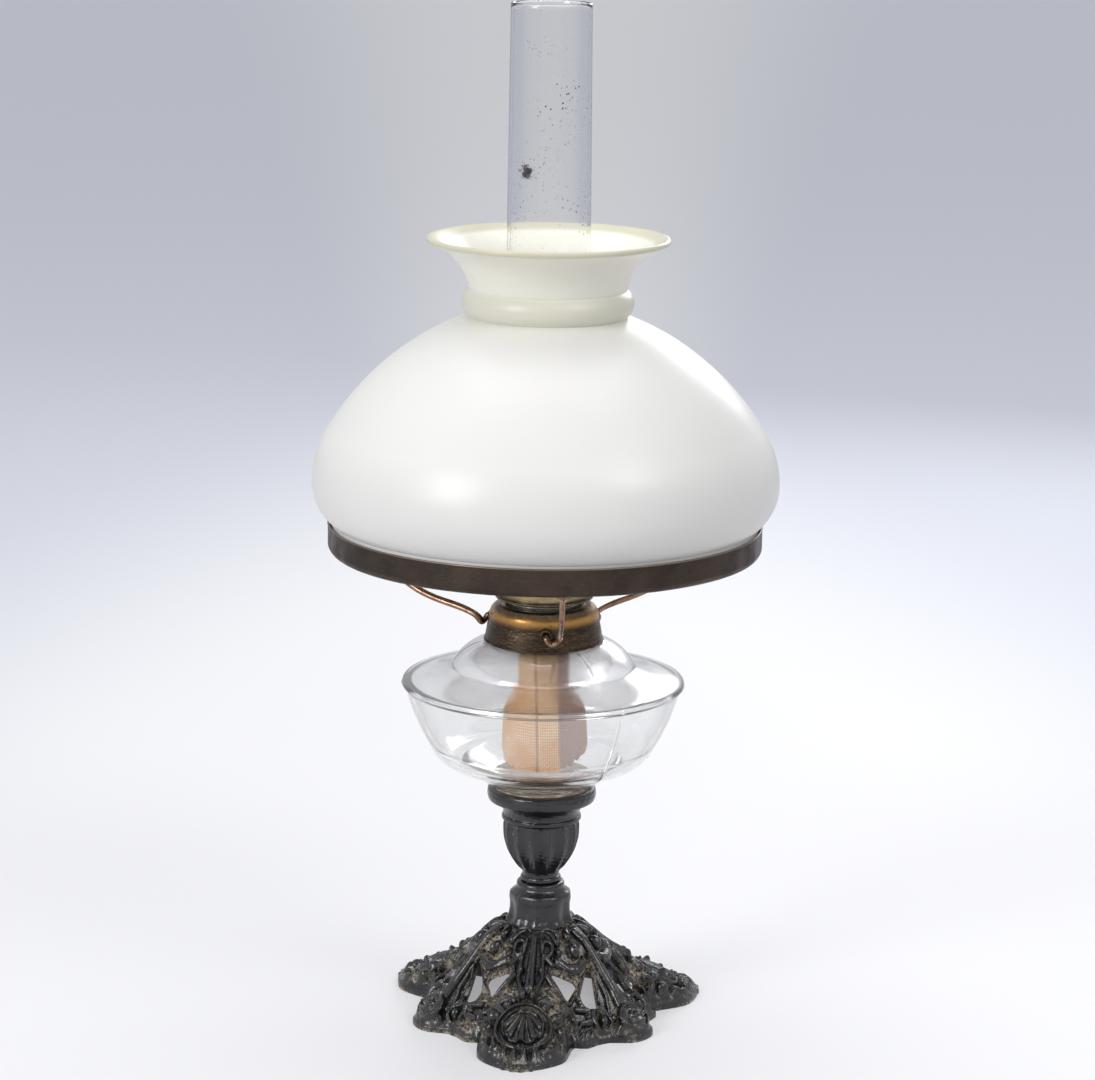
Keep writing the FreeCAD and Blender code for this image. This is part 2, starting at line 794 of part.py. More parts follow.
# Shade holder: spun hub, eyelets, three wire arms, ring and rivets
hubOutside = [
    Corner(S.hubSkirtRadius, hubBottom),
    Corner(S.hubShoulderRadius, hubTop - S.hubShoulderDrop),
    Corner(S.hubTopRadius, hubTop, S.hubBend),
    Corner(S.hubHoleRadius, hubTop),
]
hubBlank = turned("hub_blank", walled(hubOutside, S.hubWall), keep=False)
document.recompute()
armCount = 3
armNames = ("front", "right", "left")
eyeletZ = hubBottom.value + S.eyeletHeight.value
eyeletInner = S.hubShoulderRadius.value - S.eyeletRadius.value / 2
skirtShare = S.eyeletHeight.value / (S.hubHeight.value - S.hubShoulderDrop.value)
skirtAtEyelet = S.hubSkirtRadius.value + (S.hubShoulderRadius.value - S.hubSkirtRadius.value) * skirtShare
eyeletOuter = skirtAtEyelet + S.eyeletReach.value


def armAngle(k):
    return S.eyeletAzimuth.value + k * fullTurn / armCount


def eyeletBlank(radius):
    length = eyeletOuter - eyeletInner
    return Part.makeCylinder(radius, length, Vector(0, -eyeletInner, eyeletZ), Vector(0, -1, 0))


def atEachArm(shape):
    return [aroundAxis(shape, armAngle(k)) for k in range(armCount)]


eyelet = eyeletBlank(S.eyeletRadius.value).cut(eyeletBlank(S.armWireRadius.value + S.armBoreGap.value))
coded("shade_hub", hubBlank.Shape.cut(atEachArm(eyeletBlank(S.eyeletRadius.value))))
coded("arm_eyelets", Part.makeCompound(atEachArm(eyelet)))


def roundedPath(points, bends):
    # Straight runs joined by tangent arcs
    edges = []
    at = points[0]
    for i in range(1, len(points) - 1):
        before = (points[i] - points[i - 1]).normalize()
        after = (points[i + 1] - points[i]).normalize()
        half = before.getAngle(after) / 2
        reach = bends[i - 1] * math.tan(half)
        start, end = points[i] - before * reach, points[i] + after * reach
        inward = (after - before).normalize()
        middle = points[i] + inward * (bends[i - 1] / math.cos(half) - bends[i - 1])
        edges.append(Part.LineSegment(at, start).toShape())
        edges.append(Part.Arc(start, middle, end).toShape())
        at = end
    edges.append(Part.LineSegment(at, points[-1]).toShape())
    return Part.Wire(edges)


padTop = flangeBottom.value
padBottom = padTop - S.padThick.value
flangeEdge = S.ringRadius.value - S.ringFlange.value
rivetPlace = flangeEdge + S.rivetInset.value
wireEnd = flangeEdge + S.padLength.value - S.armWireRadius.value - S.rivetHeadHeight.value
# Where the bow turns, as shares of the way out to the ring and of its rise
bowShares = ((0.08, 0.165), (0.42, 0.22), (0.76, 0.55))


def armShape():
    wire, hook = S.armWireRadius.value, S.armHookBend.value
    side = S.armSideStep.value
    out = eyeletOuter + S.armHookReach.value / 2
    low = eyeletZ - S.armHookDrop.value
    rise = padBottom - low
    way = wireEnd - out
    points = [
        Vector(0, -eyeletInner, eyeletZ),
        Vector(0, -out, eyeletZ),
        Vector(side / 4, -(out + wire / 2), low),
        Vector(side, -(out + wire), low + wire / 2),
    ]
    points += [Vector(side, -(out + way * r), low + rise * z) for r, z in bowShares]
    points.append(Vector(side, -(wireEnd - wire), padBottom - 2 * wire))
    points.append(Vector(side, -wireEnd, padTop - S.padThick.value / 2))
    bends = [hook, hook, hook, 2 * hook, S.armBowBend.value, S.armBowBend.value, hook]
    path = roundedPath(points, bends)
    section = Part.Wire([Part.makeCircle(wire, points[0], Vector(0, -1, 0))])
    arm = path.makePipeShell([section], True, False, 2)
    pad = Part.makeBox(S.padWidth.value, S.padLength.value, S.padThick.value,
                       Vector(side - S.padWidth.value / 2, -(flangeEdge + S.padLength.value), padBottom))
    bore = Part.makeCylinder(S.rivetRadius.value, 2 * S.padThick.value, Vector(side, -rivetPlace, padBottom))
    return arm.fuse(pad).cut(bore)


arm = armShape()
for k, name in enumerate(armNames):
    coded("shade_arm_" + name, arm, armAngle(k))

ringOutside = [
    Corner(S.ringRadius - S.ringFlange, flangeBottom),
    Corner(S.ringRadius - S.ringBend, flangeBottom),
    Corner(S.ringRadius, flangeBottom + S.ringBend, S.ringBend),
    Corner(S.ringRadius, flangeBottom + S.ringHeight),
]
ringBlank = turned("ring_blank", walled(ringOutside, S.ringWall), keep=False)
document.recompute()


rivetCrownShare = 0.7


def rivetShape():
    head, tall = S.rivetHeadRadius.value, S.rivetHeadHeight.value
    crown = head * rivetCrownShare
    foot = Vector(S.armSideStep.value, -rivetPlace, 0)
    bottom, top = padBottom - tall, flangeTop.value
    shank = Part.makeCylinder(S.rivetRadius.value, top - bottom, foot + Vector(0, 0, bottom))
    lower = Part.makeCone(crown, head, tall, foot + Vector(0, 0, bottom))
    upper = Part.makeCone(head, crown, tall, foot + Vector(0, 0, top))
    return shank.fuse([lower, upper]).removeSplitter()


def rivetBore():
    foot = Vector(S.armSideStep.value, -rivetPlace, padBottom)
    return Part.makeCylinder(S.rivetRadius.value, flangeTop.value - padBottom + S.overrun.value, foot)


coded("shade_ring", ringBlank.Shape.cut(atEachArm(rivetBore())))
coded("ring_rivets", Part.makeCompound(atEachArm(rivetShape())))

# Shade
shadeFoot = flangeTop
shadeCollarRadius = S.ringRadius - S.ringWall - S.shadeFitGap
shadeCollarTop = flangeBottom + S.ringHeight + S.shadeFitGap
shadeFootBend = S.ringBend - S.ringWall - S.shadeFitGap
shadeNeck = shadeFoot + S.shadeNeckHeight
shadeOutside = [
    Corner(shadeCollarRadius, shadeFoot + shadeFootBend, shadeFootBend),
    Corner(shadeCollarRadius, shadeCollarTop),
    Corner(S.shadeRadius, shadeFoot + S.shadeBellyHeight, S.shadeCurlBend),
    Corner(S.shadeShoulderRadius, shadeFoot + S.shadeShoulderHeight, S.shadeBellyBend),
    Corner(S.shadeNeckRadius, shadeNeck, S.shadeDomeBend),
    Corner(S.shadeNeckRadius, shadeNeck + S.shadeBeadHeight, S.shadeBeadBend),
    Corner(S.shadeFlareRadius, shadeFoot + S.shadeHeight, S.shadeFlareBend, RIGHT),
]
shadeRim = [
    Corner(shadeCollarRadius - S.shadeWall, shadeFoot),
    Corner(shadeCollarRadius - shadeFootBend, shadeFoot),
]
turned("opal_shade", walled(shadeOutside, S.shadeWall) + shadeRim)

# Burner: threaded ring, plate, air basket, wick tubes, gallery, fingers and cone
burnerRingBottom = collarTop - S.burnerThreadLength
turned("burner_ring", [
    Corner(burnerThreadRadius - S.burnerRingWall, burnerRingBottom),
    Corner(burnerThreadRadius, burnerRingBottom),
    Corner(burnerThreadRadius, burnerRingTop),
    Corner(burnerThreadRadius - S.burnerRingWall, burnerRingTop),
])
turned("burner_plate", [
    Corner(S.wickTubeRadius, burnerRingTop),
    Corner(S.plateRadius, burnerRingTop),
    Corner(S.plateRadius, plateTop),
    Corner(S.wickTubeRadius, plateTop),
])
basketBlank = turned("basket_blank", [
    Corner(S.basketRadius - S.basketWall, plateTop),
    Corner(S.basketRadius, plateTop),
    Corner(S.basketRadius, basketTop),
    Corner(S.basketRadius - S.basketWall, basketTop),
], keep=False)
airHoleRows = (plateTop + S.airHoleInset, plateTop + S.airHoleInset + S.airHolePitch)
airDrills = []
for row in airHoleRows:
    start = Vector(0, S.overrun.value - (S.basketRadius - S.basketWall).value, row.value)
    drill = Part.makeCylinder(S.airHoleRadius.value, (S.basketWall + S.overrun * 2).value, start,
                              Vector(0, -1, 0))
    airDrills += atEach(drill, S.airHoleCount.value)
airHoles = document.addObject("Part::Feature", "air_holes")
airHoles.Shape = Part.makeCompound(airDrills)
bushBore = cylinder("bush_bore", S.bushRadius, S.bushOuter * 2,
                    x=-S.bushOuter, y=-S.shaftOffset, z=winderHeight, turn=alongX)
cutBy("air_basket", basketBlank, [airHoles, bushBore])

turned("chimney_gallery", [
    Corner(S.basketRadius, basketTop - S.galleryLap),
    Corner(S.basketRadius + S.galleryWall, basketTop - S.galleryLap),
    Corner(S.basketRadius + S.galleryWall, basketTop),
    Corner(S.galleryRimRadius, chimneySeat - S.galleryWall * 2),
    Corner(S.galleryRimRadius, chimneySeat + S.galleryRim),
    Corner(S.galleryRimRadius - S.galleryWall, chimneySeat + S.galleryRim),
    Corner(S.galleryRimRadius - S.galleryWall, chimneySeat),
    Corner(S.chimneyBaseRadius - S.galleryLedge, chimneySeat),
    Corner(S.chimneyBaseRadius - S.galleryLedge, chimneySeat - S.galleryWall),
    Corner(S.galleryRimRadius - S.galleryWall * 1.5, chimneySeat - S.galleryWall),
    Corner(S.basketRadius, basketTop),
])
fingerInside = S.chimneyBaseRadius + S.fingerGap
fingerRing = S.galleryRimRadius - S.galleryWall
fingerTop = chimneySeat + S.fingerHeight
fingerFoot = chimneySeat + S.galleryRim
fingerKneeShare = 0.4
fingersBlank = turned("fingers_blank", [
    Corner(fingerInside, chimneySeat),
    Corner(fingerRing, chimneySeat),
    Corner(fingerRing, fingerFoot),
    Corner(fingerInside + S.fingerWall, fingerTop * fingerKneeShare + fingerFoot * (1 - fingerKneeShare)),
    Corner(fingerInside + S.fingerWall, fingerTop - S.galleryRim),
    Corner(fingerRing, fingerTop),
    Corner(fingerRing - S.fingerWall, fingerTop),
    Corner(fingerInside, fingerTop - S.galleryRim),
], keep=False)
fingerSlots = document.addObject("Part::Feature", "finger_slots")
slotDepth = S.galleryRimRadius - fingerInside + S.overrun * 2
slotBlank = Part.makeBox(S.fingerSlot.value, slotDepth.value, S.fingerHeight.value,
                         Vector(-S.fingerSlot.value / 2, (fingerInside - S.overrun).value, fingerFoot.value))
fingerSlots.Shape = Part.makeCompound(atEach(slotBlank, S.fingerCount.value))
cutBy("chimney_fingers", fingersBlank, [fingerSlots])

coneFoot = basketTop - S.galleryRim
coneOutside = [
    Corner(S.basketRadius - S.basketWall, coneFoot),
    Corner(S.basketRadius - S.basketWall, coneFoot + S.galleryRim),
    Corner(S.coneTopRadius, chimneySeat + S.coneRise, S.coneBend),
]
turned("burner_cone", walled(coneOutside, S.coneWall))

wickTubeBottom = plateTop - S.wickTubeDrop
wickTubeInside = S.wickTubeRadius - S.wickTubeWall
wickTubeBlank = turned("wick_tube_blank", [
    Corner(wickTubeInside, wickTubeBottom),
    Corner(S.wickTubeRadius, wickTubeBottom),
    Corner(S.wickTubeRadius, wickTubeTop),
    Corner(wickTubeInside, wickTubeTop),
], keep=False)
ductFloor = plateTop + S.ductBottom
ductCut = box("duct_cut", S.ductWidth, S.wickTubeRadius + S.overrun, S.ductHeight,
              -S.ductWidth / 2, 0, ductFloor)
spurSlotWidth = S.spurThick + S.spurSlotGap * 2
spurSlotHeight = S.spurRadius * 2
spurCuts = []
for name, side in (("left", -1), ("right", 1)):
    spurCuts.append(box("spur_slot_" + name, spurSlotWidth, S.wickTubeRadius + S.overrun, spurSlotHeight,
                        S.spurOffset * side - spurSlotWidth / 2, -(S.wickTubeRadius + S.overrun),
                        winderHeight - spurSlotHeight / 2))
cutBy("outer_wick_tube", wickTubeBlank, [ductCut] + spurCuts)

# Draught tube with a closed bottom and the short air duct that holds it
draughtInside = S.draughtTubeRadius - S.wickTubeWall
draughtBottom = plateTop + S.wickTubeWall
draughtBlank = turned("draught_blank", [
    Corner(0, draughtBottom),
    Corner(S.draughtTubeRadius, draughtBottom),
    Corner(S.draughtTubeRadius, wickTubeTop),
    Corner(draughtInside, wickTubeTop),
    Corner(draughtInside, draughtBottom + S.wickTubeWall),
    Corner(0, draughtBottom + S.wickTubeWall),
], keep=False)
ductBlank = box("duct_blank", S.ductWidth, S.wickTubeRadius - S.wickTubeWall / 2, S.ductHeight,
                -S.ductWidth / 2, 0, ductFloor)
draughtSpace = cylinder("draught_space", draughtInside, S.ductHeight, z=ductFloor)
ductOutside = cutBy("duct_outside", ductBlank, [draughtSpace], keep=False)
ductAir = box("duct_air", S.ductWidth - S.wickTubeWall * 2, S.wickTubeRadius + S.overrun,
              S.ductHeight - S.wickTubeWall * 2, -(S.ductWidth / 2 - S.wickTubeWall), 0,
              ductFloor + S.wickTubeWall)
draughtJoined = joinedBy("Part::Fuse", "draught_joined", draughtBlank, [ductOutside], keep=False)
cutBy("draught_tube", draughtJoined, [ductAir])

# Winder: bushes on the basket, shaft, spur wheels and knob
bushLength = S.bushOuter - S.bushInner
bushes = []
for name, start in (("left", -S.bushOuter), ("right", S.bushInner)):
    blank = cylinder("bush_blank_" + name, S.bushRadius, bushLength,
                     x=start, y=-S.shaftOffset, z=winderHeight, turn=alongX)
    hole = cylinder("bush_hole_" + name, S.shaftRadius + S.runningGap, bushLength + S.overrun * 2,
                    x=start - S.overrun, y=-S.shaftOffset, z=winderHeight, turn=alongX)
    bushes.append(cutBy("bush_" + name, blank, [hole], keep=False))
bushGroup = document.addObject("Part::Compound", "shaft_bushes")
bushGroup.Links = bushes
nodes.append(bushGroup)
shaft = cylinder("winder_shaft", S.shaftRadius, S.shaftLeft + S.shaftRight,
                 x=-S.shaftLeft, y=-S.shaftOffset, z=winderHeight, turn=alongX)
nodes.append(shaft)
spurs = []
for name, side in (("left", -1), ("right", 1)):
    start = S.spurOffset * side - S.spurThick / 2
    blank = cylinder("spur_blank_" + name, S.spurRadius, S.spurThick,
                     x=start, y=-S.shaftOffset, z=winderHeight, turn=alongX)
    hole = cylinder("spur_hole_" + name, S.shaftRadius, S.spurThick + S.overrun * 2,
                    x=start - S.overrun, y=-S.shaftOffset, z=winderHeight, turn=alongX)
    spurs.append(cutBy("spur_" + name, blank, [hole], keep=False))
spurGroup = document.addObject("Part::Compound", "spur_wheels")
spurGroup.Links = spurs
nodes.append(spurGroup)
knobStart = S.shaftRight - S.knobThick
knobDisc = cylinder("knob_disc", S.knobRadius, S.knobThick,
                    x=knobStart, y=-S.shaftOffset, z=winderHeight, turn=alongX)
knobHub = cylinder("knob_hub", S.knobHubRadius, S.knobHubLength,
                   x=knobStart - S.knobHubLength, y=-S.shaftOffset, z=winderHeight, turn=alongX)
knobHole = cylinder("knob_hole", S.shaftRadius, S.knobThick + S.knobHubLength + S.overrun * 2,
                    x=knobStart - S.knobHubLength - S.overrun, y=-S.shaftOffset, z=winderHeight, turn=alongX)
knobBlank = joinedBy("Part::Fuse", "knob_blank", knobDisc, [knobHub], keep=False)
cutBy("winder_knob", knobBlank, [knobHole])

# Wick: a flat woven strip rolled round the draught tube, opening out into the font
# Share of the way down from the tube, share of the flare, and the sideways shift of the strip's middle
wickShares = ((0, 0, 0), (0.30, 0.20, 0.05), (0.62, 0.62, 0.12), (1, 1, 0.18))


def stripSection(middle, radius, sweep, thick, height):
    # A thick open ring, its gap at the back, as three arcs outside and three inside
    def spot(r, share):
        angle = math.radians(90 + (fullTurn - sweep) / 2 + sweep * share)
        return Vector(middle.x + r * math.cos(angle), middle.y + r * math.sin(angle), height)

    edges = []
    for r, way in ((radius + thick / 2, 1), (radius - thick / 2, -1)):
        shares = [k / 6 for k in range(7)][::way]
        for i in range(0, 6, 2):
            edges.append(Part.Arc(*[spot(r, share) for share in shares[i:i + 3]]).toShape())
    ends = [spot(radius + thick / 2 * side, share) for share, side in ((1, 1), (1, -1), (0, -1), (0, 1))]
    edges.insert(3, Part.LineSegment(ends[0], ends[1]).toShape())
    edges.append(Part.LineSegment(ends[2], ends[3]).toShape())
    return Part.Wire(edges)


def wickShape():
    radius, thick = S.wickRadius.value, S.wickThick.value
    halfGap = math.asin((S.ductWidth.value / 2 + S.wickEdgeGap.value) / radius)
    width = radius * (2 * math.pi - 2 * halfGap)
    top = wickTubeTop.value + S.wickTrim.value
    bottom = fontBase.value + S.wickBottom.value + S.wickThick.value / 2
    rollEnd = wickTubeBottom.value - S.wickTravel.value - S.wickEdgeGap.value
    spread = S.wickFlareRadius.value - radius
    sections = []
    for down, flare, shift in wickShares:
        bend = radius + spread * flare
        middle = Vector(spread * shift, spread * shift * 2, 0)
        height = rollEnd + (bottom - rollEnd) * down
        sections.append(stripSection(middle, bend, math.degrees(width / bend), thick, height))
    roll = Part.makeLoft([stripSection(Vector(), radius, math.degrees(width / radius), thick, top),
                          sections[0]], True, True)
    return roll.fuse(Part.makeLoft(sections, True, True)).removeSplitter()


coded("wick", wickShape())

# Chimney
chimneyTop = chimneySeat + S.chimneyLength
shoulderRadius = (S.chimneyBaseRadius + S.chimneyWaistRadius) / 2
shoulderHeight = chimneySeat + (S.chimneyBaseHeight + S.chimneyWaistHeight) / 2
swellRadius = (S.chimneyWaistRadius + S.chimneyBulgeRadius) / 2
swellHeight = chimneySeat + (S.chimneyWaistHeight + S.chimneyBulgeHeight) / 2
chimneyOutside = [
    Corner(S.chimneyBaseRadius, chimneySeat),
    Corner(S.chimneyBaseRadius, chimneySeat + S.chimneyBaseHeight),
    Corner(shoulderRadius, shoulderHeight, S.chimneyBend),
    Corner(S.chimneyWaistRadius, chimneySeat + S.chimneyWaistHeight, S.chimneyBend, RIGHT),
    Corner(swellRadius, swellHeight, S.chimneySwellBend, RIGHT),
    Corner(S.chimneyBulgeRadius, chimneySeat + S.chimneyBulgeHeight, S.chimneySwellBend),
    Corner(S.chimneyTopRadius, chimneyTop),
]
turned("chimney", walled(chimneyOutside, S.chimneyWall))

document.recompute()

# Checks before anything is written
faults = []
for item in document.Objects:
    if {"Invalid", "Error"} & set(item.State):
        faults.append("%s is in state %s" % (item.Label, item.State))
for piece in nodes:
    if piece.Shape.isNull() or not piece.Shape.isValid():
        faults.append("%s has no valid shape" % piece.Label)
if faults:
    raise SystemExit("; ".join(faults))

os.makedirs("parts", exist_ok=True)
for piece in nodes:
    extent = piece.Shape.BoundBox
    print("%-18s solids %d volume %.0f z %.1f to %.1f" % (
        piece.Label, len(piece.Shape.Solids), piece.Shape.Volume, extent.ZMin, extent.ZMax))
    piece.Shape.exportStep("parts/%s.step" % piece.Label)
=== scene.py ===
import math

import bmesh
import bpy
import numpy as np
from mathutils import Matrix, Vector


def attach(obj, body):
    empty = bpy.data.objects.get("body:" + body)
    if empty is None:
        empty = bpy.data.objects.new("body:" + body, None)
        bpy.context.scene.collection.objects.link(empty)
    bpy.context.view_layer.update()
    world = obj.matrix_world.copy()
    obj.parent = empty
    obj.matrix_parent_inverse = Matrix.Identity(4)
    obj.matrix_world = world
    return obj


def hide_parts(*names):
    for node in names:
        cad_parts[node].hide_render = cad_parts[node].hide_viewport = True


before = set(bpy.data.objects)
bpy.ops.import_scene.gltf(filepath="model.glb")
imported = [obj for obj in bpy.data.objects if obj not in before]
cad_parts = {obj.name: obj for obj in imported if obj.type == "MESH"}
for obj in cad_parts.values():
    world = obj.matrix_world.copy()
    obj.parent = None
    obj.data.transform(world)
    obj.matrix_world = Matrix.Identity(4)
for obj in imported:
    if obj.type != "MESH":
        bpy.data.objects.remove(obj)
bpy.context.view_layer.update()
print("frame loaded")

# Lengths in the tables below are millimetres; azimuths run from the viewer's side towards the right
mm = 0.001
fullTurn = 2 * math.pi
rng = np.random.default_rng(7)


# mesh helpers

def meshFromArrays(name, points, quads):
    mesh = bpy.data.meshes.new(name)
    mesh.vertices.add(len(points))
    mesh.vertices.foreach_set("co", (np.asarray(points, dtype=np.float32) * mm).ravel())
    quads = np.asarray(quads, dtype=np.int32)
    mesh.loops.add(quads.size)
    mesh.loops.foreach_set("vertex_index", quads.ravel())
    mesh.polygons.add(len(quads))
    mesh.polygons.foreach_set("loop_start", np.arange(len(quads), dtype=np.int32) * quads.shape[1])
    mesh.update(calc_edges=True)
    mesh.validate()
    return mesh


def addPiece(mesh, body, material, replaced=(), sharpAngle=32, weld=0.0004):
    # Welds the seams, points the faces outwards, and hangs the piece on its body
    work = bmesh.new()
    work.from_mesh(mesh)
    if weld:
        bmesh.ops.remove_doubles(work, verts=work.verts, dist=weld * mm)
        bmesh.ops.recalc_face_normals(work, faces=work.faces)
    work.to_mesh(mesh)
    work.free()
    mesh.shade_smooth()
    mesh.set_sharp_from_angle(angle=math.radians(sharpAngle))
    mesh.materials.append(material)
    piece = bpy.data.objects.new(mesh.name, mesh)
    bpy.context.collection.objects.link(piece)
    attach(piece, body)
    if replaced:
        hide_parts(*replaced)
    return piece


def outline(corners, step=0.7, straight=2.5):
    # A closed line of radius and height. A corner's bend and turn make the edge that reaches it an arc.
    points = []
    for i, corner in enumerate(corners):
        start, end = np.array(corners[i - 1][:2], float), np.array(corner[:2], float)
        length = np.linalg.norm(end - start)
        if len(corner) == 2:
            count = max(1, int(length / straight))
            points += [start + (end - start) * k / count for k in range(1, count + 1)]
            continue
        radius, turn = corner[2:]
        across = np.array((-(end - start)[1], (end - start)[0])) / length * turn
        centre = (start + end) / 2 + across * math.sqrt(max(radius ** 2 - (length / 2) ** 2, 0))
        first = math.atan2(*(start - centre)[::-1])
        sweep = (math.atan2(*(end - centre)[::-1]) - first) * turn % fullTurn * turn
        count = max(3, int(abs(sweep) * radius / step))
        for k in range(1, count + 1):
            angle = first + sweep * k / count
            points.append(centre + radius * np.array((math.cos(angle), math.sin(angle))))
    return np.array(points)


def aroundAxis(radius, azimuth, height):
    return np.stack([radius * np.sin(azimuth), -radius * np.cos(azimuth), height], axis=-1)


def turnedGrid(line, azimuths, push=None):
    # Rows follow the line, columns the azimuths; push moves points outwards
    radius, azimuth = np.meshgrid(line[:, 0], azimuths, indexing="ij")
    height = np.broadcast_to(line[:, 1:2], radius.shape)
    if push is not None:
        radius = radius + push(radius, height, azimuth)
    return aroundAxis(radius, azimuth, height)


def gridQuads(rows, columns, closedRows=True, closedColumns=True):
    i = np.arange(rows if closedRows else rows - 1)
    j = np.arange(columns if closedColumns else columns - 1)
    i, j = np.meshgrid(i, j, indexing="ij")
    nextRow, nextColumn = (i + 1) % rows, (j + 1) % columns
    return np.stack([i * columns + j, i * columns + nextColumn,
                     nextRow * columns + nextColumn, nextRow * columns + j], axis=-1).reshape(-1, 4)


def meshOfGrids(name, grids):
    # One mesh from grids of one size that close both ways
    rows, columns = grids[0].shape[:2]
    quads = gridQuads(rows, columns)
    return meshFromArrays(name, np.concatenate([grid.reshape(-1, 3) for grid in grids]),
                          np.concatenate([quads + k * rows * columns for k in range(len(grids))]))


def evenAzimuths(count):
    return np.arange(count) * fullTurn / count


def turnedPiece(name, corners, body, material, replaced=(), segments=192, push=None,
                step=0.7, azimuths=None, sharpAngle=32):
    if azimuths is None:
        azimuths = evenAzimuths(segments)
    mesh = meshOfGrids(name, [turnedGrid(outline(corners, step), azimuths, push)])
    return addPiece(mesh, body, material, replaced, sharpAngle)


def smoothStep(value, low, high):
    share = np.clip((value - low) / (high - low), 0, 1)
    return share * share * (3 - 2 * share)


def dome(away):
    # 1 in the middle, falling as a circle does to 0 where away is 1
    return np.sqrt(np.clip(1 - away ** 2, 0, 1))


# node helpers; each finds its tree from a socket that it is given

def link(source, target):
    source.id_data.links.new(source, target)


def nodeOf(tree, kind, **values):
    node = tree.nodes.new(kind)
    for key, value in values.items():
        setattr(node, key, value)
    return node


def setInputs(node, **values):
    for key, value in values.items():
        node.inputs[key.replace("_", " ")].default_value = value
    return node


def feed(socket, value):
    # A number or a colour is set, anything else is linked
    if isinstance(value, tuple):
        socket.default_value = (*value, 1.0)
    elif isinstance(value, (int, float)):
        socket.default_value = value
    else:
        link(value, socket)


def mathNode(operation, first, second=0.0, clamp=False):
    tree = (second if isinstance(first, (int, float)) else first).id_data
    node = nodeOf(tree, "ShaderNodeMath", operation=operation, use_clamp=clamp)
    feed(node.inputs[0], first)
    feed(node.inputs[1], second)
    return node.outputs[0]


def times(first, second, clamp=False):
    return mathNode("MULTIPLY", first, second, clamp)


def plus(first, second, clamp=False):
    return mathNode("ADD", first, second, clamp)


def minus(first, second, clamp=False):
    return mathNode("SUBTRACT", first, second, clamp)


def most(first, second):
    return mathNode("MAXIMUM", first, second)


def ramp(value, low, high, first=0.0, last=1.0):
    node = nodeOf(value.id_data, "ShaderNodeMapRange", clamp=True, interpolation_type="SMOOTHSTEP")
    setInputs(node, From_Min=low, From_Max=high, To_Min=first, To_Max=last)
    link(value, node.inputs["Value"])
    return node.outputs["Result"]


def mixColour(factor, first, second):
    node = nodeOf(factor.id_data, "ShaderNodeMix", data_type="RGBA")
    for index, value in ((0, factor), (6, first), (7, second)):
        feed(node.inputs[index], value)
    return node.outputs[2]


def noise(place, scale, detail=3.0, roughness=0.55):
    node = nodeOf(place.id_data, "ShaderNodeTexNoise")
    setInputs(node, Detail=detail, Roughness=roughness)
    feed(node.inputs["Scale"], scale)
    link(place, node.inputs["Vector"])
    return node.outputs["Fac"]


def partsOf(vector):
    node = nodeOf(vector.id_data, "ShaderNodeSeparateXYZ")
    link(vector, node.inputs[0])
    return node.outputs


def heightBand(place, low, high):
    # 0 below low, 1 above high, in metres up the lamp
    return ramp(partsOf(place)["Z"], low, high)


def bump(shader, height, strength, distance):
    node = setInputs(nodeOf(shader.id_data, "ShaderNodeBump"), Strength=strength, Distance=distance)
    link(height, node.inputs["Height"])
    link(node.outputs["Normal"], shader.inputs["Normal"])


# node groups that several materials share

number, colour = "NodeSocketFloat", "NodeSocketColor"


def newGroup(name, inputs, outputs):
    tree = bpy.data.node_groups.new(name, "ShaderNodeTree")
    for label, kind, value in inputs:
        socket = tree.interface.new_socket(name=label, in_out="INPUT", socket_type=kind)
        socket.default_value = value
    for label, kind in outputs:
        tree.interface.new_socket(name=label, in_out="OUTPUT", socket_type=kind)
    place = nodeOf(tree, "ShaderNodeTexCoord").outputs["Object"]
    return tree, nodeOf(tree, "NodeGroupInput").outputs, nodeOf(tree, "NodeGroupOutput").inputs, place


def buildMottle():
    # Two colours that drift into each other, with fine specks of the second
    tree, given, result, place = newGroup("mottle", [
        ("First", colour, (0.5, 0.5, 0.5, 1)), ("Second", colour, (0.3, 0.3, 0.3, 1)),
        ("Scale", number, 60.0), ("Specks", number, 0.3),
    ], [("Color", colour), ("Mask", number)])
    fineness = 22.0
    large = noise(place, given["Scale"], 4.0, 0.6)
    fine = noise(place, times(given["Scale"], fineness), 2.0, 0.7)
    specks = times(ramp(fine, 0.58, 0.72), given["Specks"])
    mask = plus(times(ramp(large, 0.36, 0.66), 0.8), specks, clamp=True)
    link(mixColour(mask, given["First"], given["Second"]), result["Color"])
    link(mask, result["Mask"])
    return tree


def buildEdgeWear():
    # Raised edges and sunk corners of a dense mesh, broken up by noise
    tree, given, result, place = newGroup("edgeWear", [
        ("Edge", number, 0.53), ("Recess", number, 0.47), ("Breakup", number, 300.0),
    ], [("Edges", number), ("Recesses", number)])
    shakeDepth, steepness = 0.06, 18.0
    point = nodeOf(tree, "ShaderNodeNewGeometry").outputs["Pointiness"]
    shake = times(minus(noise(place, given["Breakup"], 4.0, 0.7), 0.5), shakeDepth)
    broken = plus(point, shake)
    link(times(minus(broken, given["Edge"]), steepness, clamp=True), result["Edges"])
    link(times(minus(given["Recess"], broken), steepness, clamp=True), result["Recesses"])
    return tree


